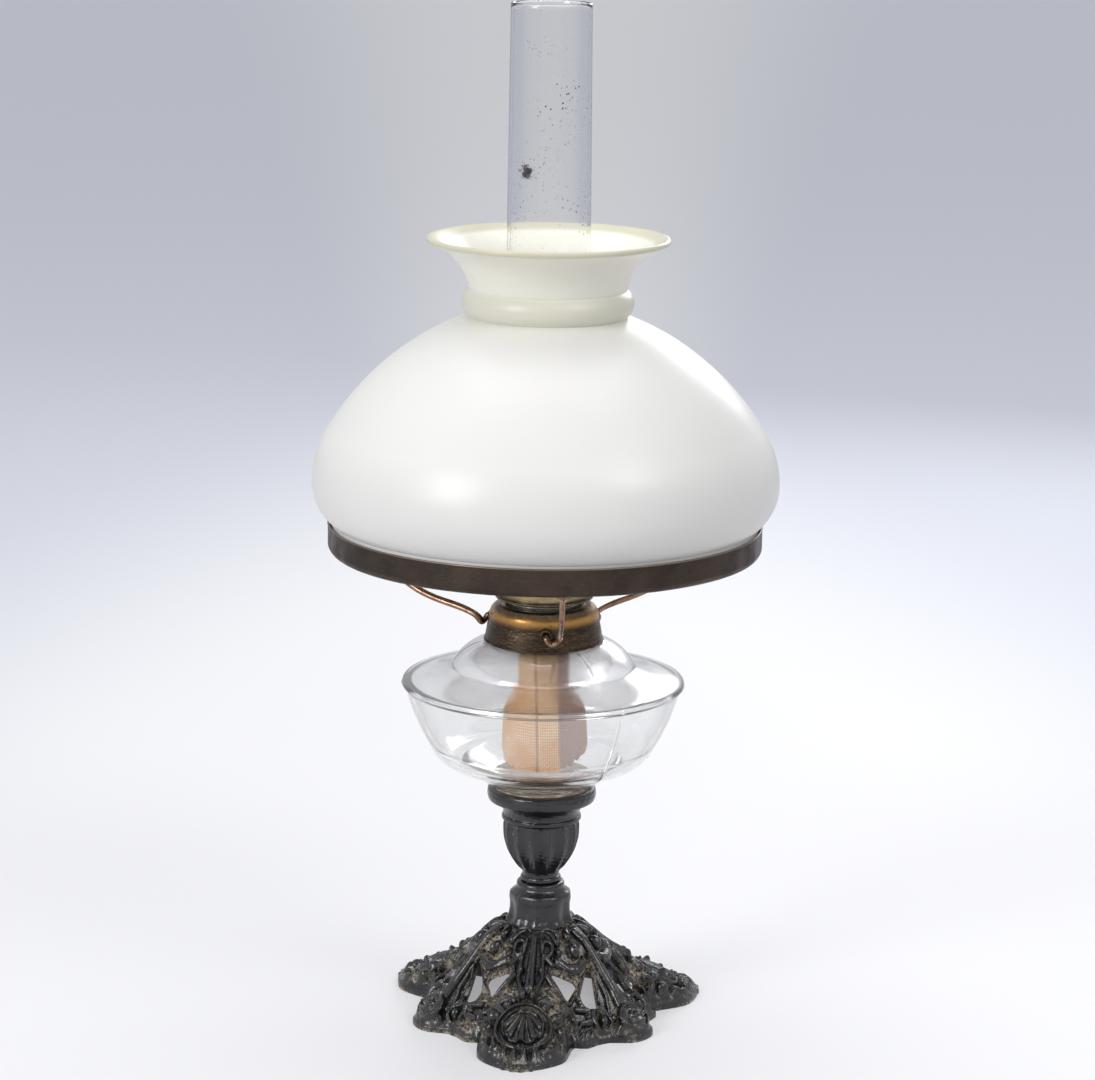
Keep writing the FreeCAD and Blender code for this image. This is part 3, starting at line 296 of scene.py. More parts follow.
def buildScratches():
    # Fine scratches: thin bands of stretched noise in two directions
    tree, given, result, place = newGroup("scratches", [
        ("Scale", number, 40.0), ("Amount", number, 0.5),
    ], [("Mask", number)])
    masks = []
    for turn in (0.5, -0.9):
        mapping = nodeOf(tree, "ShaderNodeMapping")
        setInputs(mapping, Rotation=(turn, turn * 0.7, 0.3), Scale=(1.0, 1.0, 14.0))
        link(place, mapping.inputs["Vector"])
        band = noise(mapping.outputs["Vector"], given["Scale"], 2.0, 0.5)
        masks.append(ramp(mathNode("ABSOLUTE", minus(band, 0.5)), 0.0, 0.012, 1.0, 0.0))
    link(times(most(*masks), given["Amount"]), result["Mask"])
    return tree


def buildDust():
    # Dust that lies on upward faces, in patches
    tree, given, result, place = newGroup("dust", [
        ("Amount", number, 0.3), ("Scale", number, 120.0),
    ], [("Mask", number)])
    up = partsOf(nodeOf(tree, "ShaderNodeNewGeometry").outputs["Normal"])["Z"]
    patch = noise(place, given["Scale"], 5.0, 0.65)
    lying = times(ramp(up, 0.1, 0.95), ramp(patch, 0.4, 0.7))
    link(times(lying, given["Amount"], clamp=True), result["Mask"])
    return tree


groups = {
    "mottle": buildMottle(),
    "edgeWear": buildEdgeWear(),
    "scratches": buildScratches(),
    "dust": buildDust(),
}


def useGroup(tree, name, **values):
    node = nodeOf(tree, "ShaderNodeGroup", node_tree=groups[name])
    for key, value in values.items():
        feed(node.inputs[key], value)
    return node.outputs


# materials

def newMaterial(name, baseColour, metallic=0.0, roughness=0.5, **plain):
    material = bpy.data.materials.new(name)
    material.use_nodes = True
    tree = material.node_tree
    shader = tree.nodes["Principled BSDF"]
    setInputs(shader, Base_Color=(*baseColour, 1.0), Metallic=metallic, Roughness=roughness, **plain)
    return material, tree, shader, nodeOf(tree, "ShaderNodeTexCoord").outputs["Object"]


def makeCastIron(name, dusty):
    # Black painted iron with paler raised edges, partly rubbed paint and partly painted highlight; where dusty, pale
    # patches lie in the low parts between the raised work
    look = {
        "black": (0.004, 0.004, 0.005), "grey": (0.013, 0.0125, 0.0145),
        "worn": (0.32, 0.30, 0.27), "dust": (0.58, 0.49, 0.36),
        "shine": 0.75, "roughest": 0.14, "smoothest": 0.07, "dustRoughness": 0.6,
        "faintDust": 0.25, "grain": 650.0, "grainDepth": 0.0007,
    }
    material, tree, shader, place = newMaterial(name, look["black"], 0.0, 0.3, Specular_IOR_Level=look["shine"])
    wear = useGroup(tree, "edgeWear", Edge=0.565, Recess=0.472, Breakup=700.0)
    mottle = useGroup(tree, "mottle", First=look["black"], Second=look["grey"], Scale=90.0, Specks=0.35)
    # paler raised edges: rubbed paint, and also painted highlight on the ornament's crests
    rubbedGlint = times(wear["Edges"], ramp(noise(place, 90.0), 0.42, 0.6, 0.04, 0.6))
    worn = mixColour(rubbedGlint, mottle["Color"], look["worn"])
    fine = ramp(noise(place, 520.0, 4.0, 0.7), 0.42, 0.60)
    if dusty:
        # the mesh says how far each point stands out of the plain casting
        standing = nodeOf(tree, "ShaderNodeAttribute", attribute_name="relief").outputs["Fac"]
        low = ramp(standing, 0.04, 0.95, 1.0, 0.0)
        patch = ramp(noise(place, 62.0, 4.0), 0.43, 0.64, 0.05, 0.85)
        deep = times(wear["Recesses"], ramp(patch, 0.0, 0.5, 0.12, 0.8))
        dust = most(times(times(low, fine), patch), deep)
    else:
        dust = times(times(wear["Recesses"], fine), look["faintDust"])
    link(mixColour(dust, worn, look["dust"]), shader.inputs["Base Color"])
    rough = plus(times(noise(place, 420.0), look["roughest"]), look["smoothest"])
    link(plus(rough, times(dust, look["dustRoughness"]), clamp=True), shader.inputs["Roughness"])
    bump(shader, noise(place, look["grain"], 3.0, 0.6), 0.36, look["grainDepth"])
    return material


def lightenShadow(tree, shader, share):
    # Glass lets this share of the light through to its shadow
    path = nodeOf(tree, "ShaderNodeLightPath").outputs
    link(minus(1.0, times(path["Is Shadow Ray"], share)), shader.inputs["Alpha"])


def makeFontGlass():
    # Clear pressed glass whose shoulder has a grey band: a frosted film and painted sheen standing in for the
    # reflection of the shade above
    look = {
        "clear": (0.955, 0.957, 0.955), "filmedSheen": (0.86, 0.86, 0.875), "speck": (0.4, 0.4, 0.4),
        "sheenFilmFrom": 0.1932, "sheenFilmTo": 0.1962, "filmRoughness": 0.16, "throughShadow": 0.9,
    }
    material, tree, shader, place = newMaterial("pressedGlass", look["clear"], 0.0, 0.0, IOR=1.5,
                                                Transmission_Weight=1.0, Coat_Weight=1.0, Coat_IOR=1.75,
                                                Coat_Roughness=0.14)
    lightenShadow(tree, shader, look["throughShadow"])
    # painted sheen: a grey band across the shoulder stands in for the shade's reflection there
    filmAndSheen = times(heightBand(place, look["sheenFilmFrom"], look["sheenFilmTo"]),
                 ramp(noise(place, 38.0, 3.0, 0.5), 0.3, 0.7, 0.55, 1.0))
    specks = ramp(noise(place, 900.0, 2.0, 0.6), 0.70, 0.76)
    tone = mixColour(filmAndSheen, look["clear"], look["filmedSheen"])
    link(mixColour(specks, tone, look["speck"]), shader.inputs["Base Color"])
    link(times(filmAndSheen, look["filmRoughness"]), shader.inputs["Roughness"])
    bump(shader, noise(place, 26.0, 2.0, 0.5), 0.08, 0.002)
    return material


def makeChimneyGlass():
    # Grey blown glass with soot specks along one side and a small smudge, and painted shade that darkens it where it
    # is seen edge-on
    look = {
        "tint": (0.965, 0.965, 0.965), "edge": (0.30, 0.31, 0.33), "soot": (0.02, 0.02, 0.022),
        "smudge": (-0.0125, -0.0182, 0.474), "smudgeBreakup": 0.016, "sootRoughness": 0.8, "throughShadow": 0.8,
    }
    material, tree, shader, place = newMaterial("sootedGlass", look["tint"], 0.0, 0.0, IOR=1.47,
                                                Transmission_Weight=1.0)
    lightenShadow(tree, shader, look["throughShadow"])
    speck = setInputs(nodeOf(tree, "ShaderNodeTexVoronoi", feature="F1"), Scale=300.0, Randomness=1.0)
    link(place, speck.inputs["Vector"])
    dots = times(ramp(speck.outputs["Distance"], 0.13, 0.2, 1.0, 0.0), ramp(noise(place, 24.0), 0.46, 0.64))
    away = nodeOf(tree, "ShaderNodeVectorMath", operation="DISTANCE")
    link(place, away.inputs[0])
    away.inputs[1].default_value = look["smudge"]
    broken = plus(away.outputs["Value"], times(noise(place, 420.0, 5.0, 0.8), look["smudgeBreakup"]))
    soot = most(dots, ramp(broken, 0.0104, 0.0124, 1.0, 0.0))
    # painted shade: dark grey where the glass is seen edge-on, standing in for its dark refracted edges
    facing = nodeOf(tree, "ShaderNodeLayerWeight").outputs["Facing"]
    tone = mixColour(ramp(facing, 0.72, 0.97), look["tint"], look["edge"])
    link(mixColour(soot, tone, look["soot"]), shader.inputs["Base Color"])
    link(times(soot, look["sootRoughness"]), shader.inputs["Roughness"])
    return material


def makeOpal():
    # White opal glass; ivory at the neck, partly the thicker glass's own tone and partly painted light shining
    # through it; painted shade at its bead, and a darker rim
    look = {
        "white": (0.905, 0.895, 0.865), "cloud": (0.89, 0.878, 0.85), "ivory": (0.91, 0.895, 0.785),
        "bead": (0.72, 0.71, 0.60), "rim": (0.58, 0.55, 0.38), "roughness": 0.26, "unevenness": 0.08,
    }
    material, tree, shader, place = newMaterial("opalGlass", look["white"], 0.0, 0.07, IOR=1.5,
                                                Subsurface_Weight=0.25, Subsurface_Scale=0.01,
                                                Subsurface_Radius=(0.6, 0.56, 0.5), Specular_IOR_Level=0.36)
    neck = heightBand(place, 0.380, 0.412)
    # painted shade: the bead's band is darkened as the shade in its creases
    bead = minus(heightBand(place, 0.393, 0.397), heightBand(place, 0.4075, 0.4115))
    rim = heightBand(place, 0.4335, 0.4355)
    tone = mixColour(ramp(noise(place, 9.0, 2.0), 0.3, 0.7), look["white"], look["cloud"])
    for band, amount, name in ((neck, 0.85, "ivory"), (bead, 0.8, "bead"), (rim, 0.7, "rim")):
        tone = mixColour(times(band, amount), tone, look[name])
    link(tone, shader.inputs["Base Color"])
    link(plus(times(noise(place, 60.0), look["unevenness"]), look["roughness"]), shader.inputs["Roughness"])
    bump(shader, noise(place, 16.0, 1.0), 0.06, 0.002)
    return material


def makeMetal(name, first, second, scale, roughness, specks=0.3, scratch=0.3, worn=None, dust=0.0,
              bands=(), metallic=1.0):
    # Patinated metal: mottled colour, scratches, dust, and heights from which another colour sets in
    look = {"dust": (0.45, 0.38, 0.29), "dustCover": 0.8, "patchy": 0.22, "smoother": 0.08, "scratchShine": 0.1}
    material, tree, shader, place = newMaterial(name, first, metallic, roughness)
    mottle = useGroup(tree, "mottle", First=first, Second=second, Scale=scale, Specks=specks)
    scratches = useGroup(tree, "scratches", Scale=70.0, Amount=scratch)["Mask"]
    tone = mottle["Color"]
    for low, high, bandColour, amount in bands:
        tone = mixColour(times(heightBand(place, low, high), amount), tone, bandColour)
    tone = mixColour(scratches, tone, worn or tuple(min(1.0, c * 1.8) for c in first))
    if dust:
        lying = useGroup(tree, "dust", Amount=dust, Scale=180.0)["Mask"]
        tone = mixColour(lying, tone, look["dust"])
        link(minus(metallic, times(lying, look["dustCover"]), clamp=True), shader.inputs["Metallic"])
    link(tone, shader.inputs["Base Color"])
    rough = plus(times(mottle["Mask"], look["patchy"]), roughness - look["smoother"])
    link(minus(rough, times(scratches, look["scratchShine"]), clamp=True), shader.inputs["Roughness"])
    bump(shader, noise(place, 1200.0, 3.0, 0.6), 0.25, 0.0002)
    return material


def makePlaster():
    look = {"pale": (0.74, 0.66, 0.52), "stained": (0.42, 0.27, 0.16)}
    material, tree, shader, place = newMaterial("stainedPlaster", look["pale"], 0.0, 0.9)
    mottle = useGroup(tree, "mottle", First=look["pale"], Second=look["stained"], Scale=140.0, Specks=0.5)
    link(mottle["Color"], shader.inputs["Base Color"])
    bump(shader, noise(place, 700.0, 5.0, 0.7), 0.6, 0.0008)
    return material


def makeCotton():
    # Plain weave from the strip's own width and length, with painted shade right of its fold and in the gaps between
    # its threads
    look = {
        "yarn": (0.84, 0.46, 0.22), "pale": (0.95, 0.67, 0.43), "right": (0.62, 0.40, 0.34),
        "shade": (0.30, 0.15, 0.08), "across": 0.0012, "along": 0.0016,
        # where the strip folds and where its dark seam runs, in metres from its middle line
        "fold": 0.0075, "seam": -0.0045, "foldWidth": 0.0004,
        "warpLift": 0.55, "weftLift": 0.8,
    }
    material, tree, shader, place = newMaterial("wovenCotton", look["yarn"], 0.0, 0.95, Sheen_Weight=0.3)
    spot = partsOf(nodeOf(tree, "ShaderNodeUVMap", uv_map="strip").outputs["UV"])
    waves, checks = [], []
    for axis, pitch in (("X", look["across"]), ("Y", look["along"])):
        waves.append(mathNode("ABSOLUTE", mathNode("SINE", times(spot[axis], math.pi / pitch))))
        checks.append(mathNode("FLOOR", times(spot[axis], 1 / pitch)))
    odd = mathNode("FLOORED_MODULO", plus(*checks), 2.0)
    over = times(waves[0], minus(1.0, times(odd, look["warpLift"])))
    under = times(waves[1], times(odd, look["weftLift"]))
    cloth = most(over, under)
    left = mixColour(ramp(noise(place, 45.0, 4.0), 0.36, 0.64), look["pale"], look["yarn"])
    # painted shade: the panel right of the fold is darkened as if turned away from the light
    right = ramp(spot["X"], look["fold"] - look["foldWidth"], look["fold"] + look["foldWidth"])
    seam = ramp(mathNode("ABSOLUTE", minus(spot["X"], look["seam"])), 0.0004, 0.0011, 0.75, 0.0)
    # painted shade in the gaps between threads, joined with the real dark seam
    shadeAndSeam = most(ramp(cloth, 0.15, 0.75, 0.85, 0.0), seam)
    link(mixColour(shadeAndSeam, mixColour(right, left, look["right"]), look["shade"]), shader.inputs["Base Color"])
    bump(shader, cloth, 0.9, 0.0005)
    return material


# Bands of a metal: from and to which height in metres, colour and amount
# painted highlight: an orange-gold band on the hub's shoulder
crownHighlight = (0.2268, 0.2312, (0.58, 0.31, 0.09), 0.9)
greyTop = (0.2318, 0.2342, (0.30, 0.225, 0.165), 0.9)
# painted highlight: a thin pale line along the ring's rolled top edge
rimHighlight = (0.2806, 0.2812, (0.30, 0.25, 0.20), 0.7)
darkTray = (0.2388, 0.2394, (0.10, 0.07, 0.045), 0.95)
materials = {
    "iron": makeCastIron("blackCastIron", False),
    "dustyIron": makeCastIron("dustyCastIron", True),
    "fontGlass": makeFontGlass(),
    "chimneyGlass": makeChimneyGlass(),
    "opal": makeOpal(),
    "hub": makeMetal("brownBrass", (0.066, 0.046, 0.033), (0.04, 0.030, 0.023), 70.0, 0.34, 0.4, 0.45,
                     worn=(0.45, 0.32, 0.16), dust=0.14, bands=(crownHighlight, greyTop)),
    "ring": makeMetal("darkBronze", (0.070, 0.050, 0.037), (0.042, 0.032, 0.026), 55.0, 0.42, 0.7, 0.1,
                      worn=(0.34, 0.27, 0.22), metallic=0.85, bands=(rimHighlight,)),
    "wire": makeMetal("copperedWire", (0.33, 0.20, 0.13), (0.16, 0.095, 0.07), 160.0, 0.26, 0.3, 0.4),
    "burner": makeMetal("tarnishedBrass", (0.50, 0.50, 0.45), (0.34, 0.33, 0.28), 120.0, 0.3, 0.4, 0.3,
                        bands=(darkTray,)),
    "brass": makeMetal("darkBrass", (0.42, 0.33, 0.18), (0.22, 0.16, 0.09), 110.0, 0.36, 0.4, 0.3),
    "steel": makeMetal("dullSteel", (0.33, 0.32, 0.31), (0.20, 0.16, 0.13), 150.0, 0.4, 0.4, 0.2),
    "plaster": makePlaster(),
    "cotton": makeCotton(),
}
print("materials made")

# Cast foot: a dense surface over the plain casting, with its ornament pushed out along the normal
foot = {
    "lobeAzimuth": -6.8,
    "sectors": 3,
    "columns": 1260,
    "rows": 170,
    "pedestalRows": 40,
    "wall": 3.3,
    "edge": 2.3,
    "roundOver": 8.5,
    "reach": 130,
    "scallop": 0.55,
    "rimAngles": (0, 4, 9, 13, 15.5, 17.5, 20, 22.5, 25, 27.5, 31, 38, 44, 48, 51, 54, 57, 60),
    "rimRadii": (98.5, 96.5, 92.0, 88.2, 85.2, 81.5, 74.0, 67.0, 63.2, 65.0, 66.5, 64.0, 64.5, 68.0, 71.5, 73.6, 74.4,
                 74.6),
    "pedestalRadius": 18.7,
    "footHeight": 52.5,
    # the stem from the casting to the bolt's bore, and the hollow below it
    "stem": ((18.7, 52.5), (18.2, 55.0), (16.9, 57.5), (16.4, 61.0), (16.6, 65.0), (17.2, 68.0), (16.9, 70.4),
             (14.6, 72.2), (13.2, 73.6), (13.4, 75.4), (13.0, 76.6), (12.4, 77.0), (8.0, 77.0), (3.5, 77.0)),
    "hole": ((13.9, 44.0), (10.9, 49.0), (10.9, 61.0), (3.5, 61.0)),
    "roughness": 0.3,
    # what the pedestal's points say to the dust: far out, so none lies there
    "dustless": 8.0,
}
# Heights of the plain casting by radius, along a lobe, along a web and along a corner
lobeLine = ((18.7, 52.5), (24, 49), (30, 43), (36, 37), (42, 31.5), (48, 26.8), (54, 22.4), (60, 18.2), (67, 13.8),
            (74, 9.6), (80, 6.6), (86, 4.8), (99, 4.2))
webLine = ((18.7, 52.5), (24, 49.5), (31, 42.5), (37, 34.5), (43, 26), (49, 18.5), (55, 11.5), (60, 7.4), (66, 4.8),
           (99, 4))
cornerLine = ((18.7, 52.5), (24, 51), (30, 47), (36, 40), (42, 32), (50, 22), (57, 14.5), (64, 8.8), (70, 5.8),
              (75, 4.4), (99, 4))


def plainHeight(radius, turn):
    # turn is the angle from the lobe's middle in degrees, 0 to 60
    lobe, web, corner = (np.interp(radius, *zip(*line)) for line in (lobeLine, webLine, cornerLine))
    toWeb = smoothStep(turn, 12, 30)
    toCorner = smoothStep(turn, 48, 60)
    return (lobe * (1 - toWeb) + web * toWeb) * (1 - toCorner) + corner * toCorner


def at(turn, radius):
    # A point of the half sector from its angle to the lobe's middle and its radius
    return (radius * math.sin(math.radians(turn)), radius * math.cos(math.radians(turn)))


def spiral(centre, start, end, first, last, count=26):
    # A scroll from radius start to radius end, between two angles in degrees
    points = []
    for k in range(count):
        share = k / (count - 1)
        angle, radius = math.radians(first + (last - first) * share), start + (end - start) * share
        points.append((centre[0] + radius * math.cos(angle), centre[1] + radius * math.sin(angle)))
    return points


def fromSegment(x, y, start, end):
    # Each point's place along a segment, as a share of it, and its distance from the segment
    (ax, ay), (bx, by) = start, end
    dx, dy = bx - ax, by - ay
    share = np.clip(((x - ax) * dx + (y - ay) * dy) / max(dx * dx + dy * dy, 1e-9), 0, 1)
    return share, np.hypot(x - ax - dx * share, y - ay - dy * share)


def ridge(x, y, path, widths, heights, sharp=False):
    # A raised line; width and height run evenly from its first value to its last
    best = np.zeros_like(x)
    for k, segment in enumerate(zip(path, path[1:])):
        share, away = fromSegment(x, y, *segment)
        along = (k + share) / (len(path) - 1)
        width, height = (first + (last - first) * along for first, last in (widths, heights))
        form = np.clip(1 - away / width, 0, 1) ** 0.8 if sharp else dome(away / width)
        best = np.maximum(best, height * form)
    return best


def bead(x, y, centre, radii, height, lean=0.0):
    angle = math.radians(lean)
    dx, dy = x - centre[0], y - centre[1]
    u = (dx * math.cos(angle) + dy * math.sin(angle)) / radii[0]
    v = (-dx * math.sin(angle) + dy * math.cos(angle)) / radii[1]
    return height * dome(np.hypot(u, v))


# The shell's frame: middle, half width, half depth, and the inner frame as a share; each frame's height and width
shell = {
    "middle": (0.0, 69.2), "across": 14.8, "deep": 14.3, "inner": 0.74, "root": (0.0, 58.4), "bulge": 4.6,
    "outerFrame": (2.8, 1.25), "innerFrame": (2.2, 0.8), "dish": 3.4, "ledge": 0.8, "ribs": (-42, -21, 0, 21, 42),
}
# Raised lines of one half sector: path, widths, heights, and True where the crest is sharp
ridges = (
    ([(6.8, 53.4), (9.6, 51.4), (13.2, 52.8)], (1.7, 1.3), (4.0, 2.8)),
    ([(0, 46.5), (0, 38), (0, 23)], (3.6, 1.9), (5.2, 3.2)),
    ([(3.8, 48.5), (6.4, 41), (5.6, 32), (3.8, 24)], (1.8, 1.2), (4.4, 2.6)),
    ([(2.5, 84.6), (3.1, 94.0)], (1.5, 2.6), (5.2, 4.4)),
    ([(7.4, 84.0), (9.2, 92.0)], (1.4, 2.4), (5.0, 4.2)),
    (spiral((13.6, 87.2), 4.9, 1.5, -80, 330), (1.7, 1.3), (4.4, 4.2)),
    ([(17.8, 83.6), (19.8, 78.6), (18.6, 73.6)], (2.5, 1.5), (4.2, 3.0)),
    ([(24.8, 64.5), (25.6, 59.5), (23.4, 55.8)], (1.6, 1.3), (3.8, 2.8)),
    (spiral((20.4, 57.4), 3.6, 1.6, 250, -60), (1.5, 1.2), (4.2, 3.4)),
    (spiral((40.2, 41.4), 6.8, 3.6, 205, -110), (1.9, 1.5), (5.2, 4.0)),
    ([(33.6, 45.4), (28.6, 49.0), (26.6, 54.4), (28.6, 58.6)], (1.8, 1.3), (4.0, 2.8)),
    (spiral(at(60, 65.0), 8.8, 7.6, 130, -235, 44), (2.0, 1.7), (6.4, 5.4)),
    (spiral(at(60, 64.4), 4.8, 1.5, 60, -280), (1.4, 1.1), (5.8, 5.6)),
    ([at(55, 64), at(58, 58), at(60, 50), at(60, 40), at(60, 31), at(58, 24)], (2.4, 1.8), (3.8, 3.0)),
    ([at(50.5, 34), at(55.5, 42), at(54.5, 50), at(50.5, 56)], (1.2, 1.5), (2.4, 2.8)),
    ([at(50, 56), at(47.5, 52.4), at(43, 52.6), at(36, 54.0)], (1.5, 1.2), (3.6, 2.6)),
    ([(29.2, 20.4), (28.0, 25.5), (26.0, 31.0), (25.5, 35.0), (25.8, 39.0), (28.6, 41.8)], (1.9, 1.6), (3.8, 2.8),
     True),
    ([at(46, 50.6), at(38, 51.8), at(30.5, 50.6)], (1.7, 1.5), (3.2, 2.8)),
    ([at(12.5, 40.5), at(15.5, 44.5), at(20.5, 48.6)], (1.8, 1.5), (3.8, 3.0)),
    ([(26.5, 24.0), (23.6, 28.6), (19.0, 31.4), (13.4, 31.2)], (2.0, 2.6), (3.8, 4.4)),
    ([at(27, 37.6), at(18, 35.5), at(10.5, 31)], (2.0, 1.5), (4.6, 3.4)),
    (spiral(at(14, 27.5), 4.2, 1.6, 100, -190), (1.6, 1.2), (4.2, 3.4)),
    ([at(42, 24.6), at(46, 21.5), at(54, 19.4)], (2.4, 1.4), (4.4, 2.2)),
    ([at(27, 25.6), at(24, 21.5), at(18, 19.3)], (2.4, 1.4), (4.0, 2.0)),
)
# Beads: middle, half widths, height and, where it leans, by how much
beads = (
    ((2.5, 50.2), (2.4, 3.6), 6.2), ((16.4, 60.6), (3.2, 3.4), 5.6), ((10.2, 55.2), (2.6, 2.8), 4.6),
    ((24.2, 51.2), (1.9, 3.6), 4.6, -40), ((13.6, 87.6), (6.4, 5.6), 3.2), ((13.6, 87.6), (1.7, 1.7), 5.2),
    ((22.8, 74.0), (2.8, 3.0), 4.8), ((21.4, 66.4), (4.6, 3.5), 4.8, 25), ((27.8, 66.4), (2.1, 2.5), 3.4),
    ((29.8, 60.6), (2.5, 2.5), 4.2), ((30.6, 54.2), (1.5, 2.8), 2.4, 20), ((33.6, 51.6), (1.5, 2.9), 2.4, 8),
    ((36.6, 50.0), (1.5, 2.6), 2.4, -4), ((40.2, 41.4), (2.6, 2.6), 5.2), ((46.2, 46.0), (1.8, 3.2), 3.8, -30),
    ((20.4, 57.4), (1.3, 1.3), 3.4),
    (at(60, 66.0), (10.6, 9.4), 4.2), ((0.0, 89.6), (12.0, 7.8), 1.6), (at(60, 64.4), (2.0, 2.0), 6.2),
    (at(51.0, 58.4), (2.6, 2.6), 4.8), (at(50.5, 66.0), (2.6, 3.4), 4.4, -48),
    (at(42.3, 30.6), (3.2, 3.2), 5.6), (at(8, 37.6), (1.7, 2.0), 4.0), (at(26, 30.4), (1.8, 1.8), 4.0),
)
piercings = {
    # the tall drop: its two ends with their radii; and the three corners of the wide one with its rounding
    "drop": ((31.4, 34.8), 4.7, (30.2, 24.0), 1.7),
    "wide": (((19.4, 41.0), (22.4, 34.4), (12.6, 36.4)), 2.0),
    # the raised border round each: its distance from the edge, half width and height
    "border": (1.2, 0.95, 1.9),
}


def ornament(x, y):
    # Raised work of one half sector; x is measured from the lobe's middle line, y outwards
    (middleX, middleY), across, deep, inner = shell["middle"], shell["across"], shell["deep"], shell["inner"]

    def oval(share):
        return np.hypot((x - middleX) / (across * share), (y - middleY) / (deep * share))

    def frameRing(share, height, width):
        return height * dome((oval(share) - 1) * across * share / width)

    bulge = shell["bulge"] * np.clip(1 - oval(1.15) ** 2, 0, 1)
    ledge = smoothStep(oval(1.0), 1.02, 0.94) * smoothStep(oval(inner), 0.98, 1.04)
    dish = -shell["dish"] * smoothStep(oval(inner), 1.0, 0.84) - shell["ledge"] * ledge
    fan = np.zeros_like(x)
    for turn in shell["ribs"]:
        slope = math.radians(turn)
        reach = 2 * deep * inner * math.cos(slope) - 2.0
        end = (shell["root"][0] + reach * math.sin(slope), shell["root"][1] + reach * math.cos(slope))
        fan = np.maximum(fan, ridge(x, y, [shell["root"], end], (1.0, 2.9), (3.6, 6.4)))
    frames = frameRing(1.0, *shell["outerFrame"]), frameRing(inner, *shell["innerFrame"])
    raised = np.maximum.reduce([*frames, fan + dish, dish]) + bulge
    for form in ridges:
        raised = np.maximum(raised, ridge(x, y, *form))
    for form in beads:
        raised = np.maximum(raised, bead(x, y, *form))
    away, width, height = piercings["border"]
    return np.maximum(raised, height * dome((piercingDistance(x, y) - away) / width))


def piercingDistance(x, y):
    # Below zero inside a piercing
    top, wide, bottom, narrow = piercings["drop"]
    share, away = fromSegment(x, y, top, bottom)
    drop = away - (wide + (narrow - wide) * share)
    corners, bend = piercings["wide"]
    middle = np.mean(corners, axis=0)
    inside, nearest = np.full_like(x, -np.inf), np.full_like(x, np.inf)
    for k in range(3):
        start, end = np.array(corners[k]), np.array(corners[(k + 1) % 3])
        way = (end - start) / np.linalg.norm(end - start)
        normal = np.array((way[1], -way[0]))
        if np.dot(middle - start, normal) > 0:
            normal = -normal
        inside = np.maximum(inside, (x - start[0]) * normal[0] + (y - start[1]) * normal[1])
        nearest = np.minimum(nearest, fromSegment(x, y, start, end)[1])
    triangle = np.where(inside < 0, -nearest, nearest) - bend
    return np.minimum(drop, triangle)


def footRim(base):
    # The rim's radius at each angle from its lobe's middle, softened and scalloped
    turn, spread = np.degrees(np.abs(base)), 6
    rim = np.interp(turn, foot["rimAngles"], foot["rimRadii"])
    weights = np.exp(-0.5 * (np.arange(-spread, spread + 1) / 1.8) ** 2)
    rim = np.convolve(np.concatenate([rim[-spread:], rim, rim[:spread]]), weights / weights.sum(), mode="valid")
    scallops = np.cos((turn - 1.6) * fullTurn / 3.15) * smoothStep(np.abs(base), 0.13, 0.1)
    return rim + foot["scallop"] * scallops


def distanceInside(rim, radius, azimuth):
    # How far each point lies inside the rim, from the nearest of the rim's points on either side
    inset = rim - radius
    across, ahead = radius * np.sin(azimuth), radius * np.cos(azimuth)
    for shift in range(-foot["reach"], foot["reach"] + 1):
        edgeX, edgeY = np.roll(rim * np.sin(azimuth), shift), np.roll(rim * np.cos(azimuth), shift)
        inset = np.minimum(inset, np.hypot(across - edgeX, ahead - edgeY))
    return inset


def snapToPiercings(x, y):
    # Points by a piercing's edge move onto it
    step, reach = 0.05, 0.34
    for _ in range(2):
        away = piercingDistance(x, y)
        slopeX = (piercingDistance(x + step, y) - piercingDistance(x - step, y)) / (2 * step)
        slopeY = (piercingDistance(x, y + step) - piercingDistance(x, y - step)) / (2 * step)
        steep = np.maximum(slopeX ** 2 + slopeY ** 2, 0.2)
        near = np.abs(away) < reach
        x = np.where(near, x - away * slopeX / steep, x)
        y = np.where(near, y - away * slopeY / steep, y)
    return x, y


def alongLine(corners, count):
    # Even steps along a line of radius and height, without its first point
    line = np.array(corners)
    length = np.concatenate([[0], np.cumsum(np.hypot(*np.diff(line, axis=0).T))])
    spots = np.linspace(0, length[-1], count)[1:]
    return np.stack([np.interp(spots, length, column) for column in line.T], axis=-1)


def leafPush(radius, height, azimuth):
    # The pedestal's faint leaves, which fade out towards its top
    leaf = 0.9 * smoothStep(height, 76.5, 53.5) * np.cos(9 * (azimuth - math.radians(foot["lobeAzimuth"])))
    return np.where(radius > 12.5, leaf, 0)


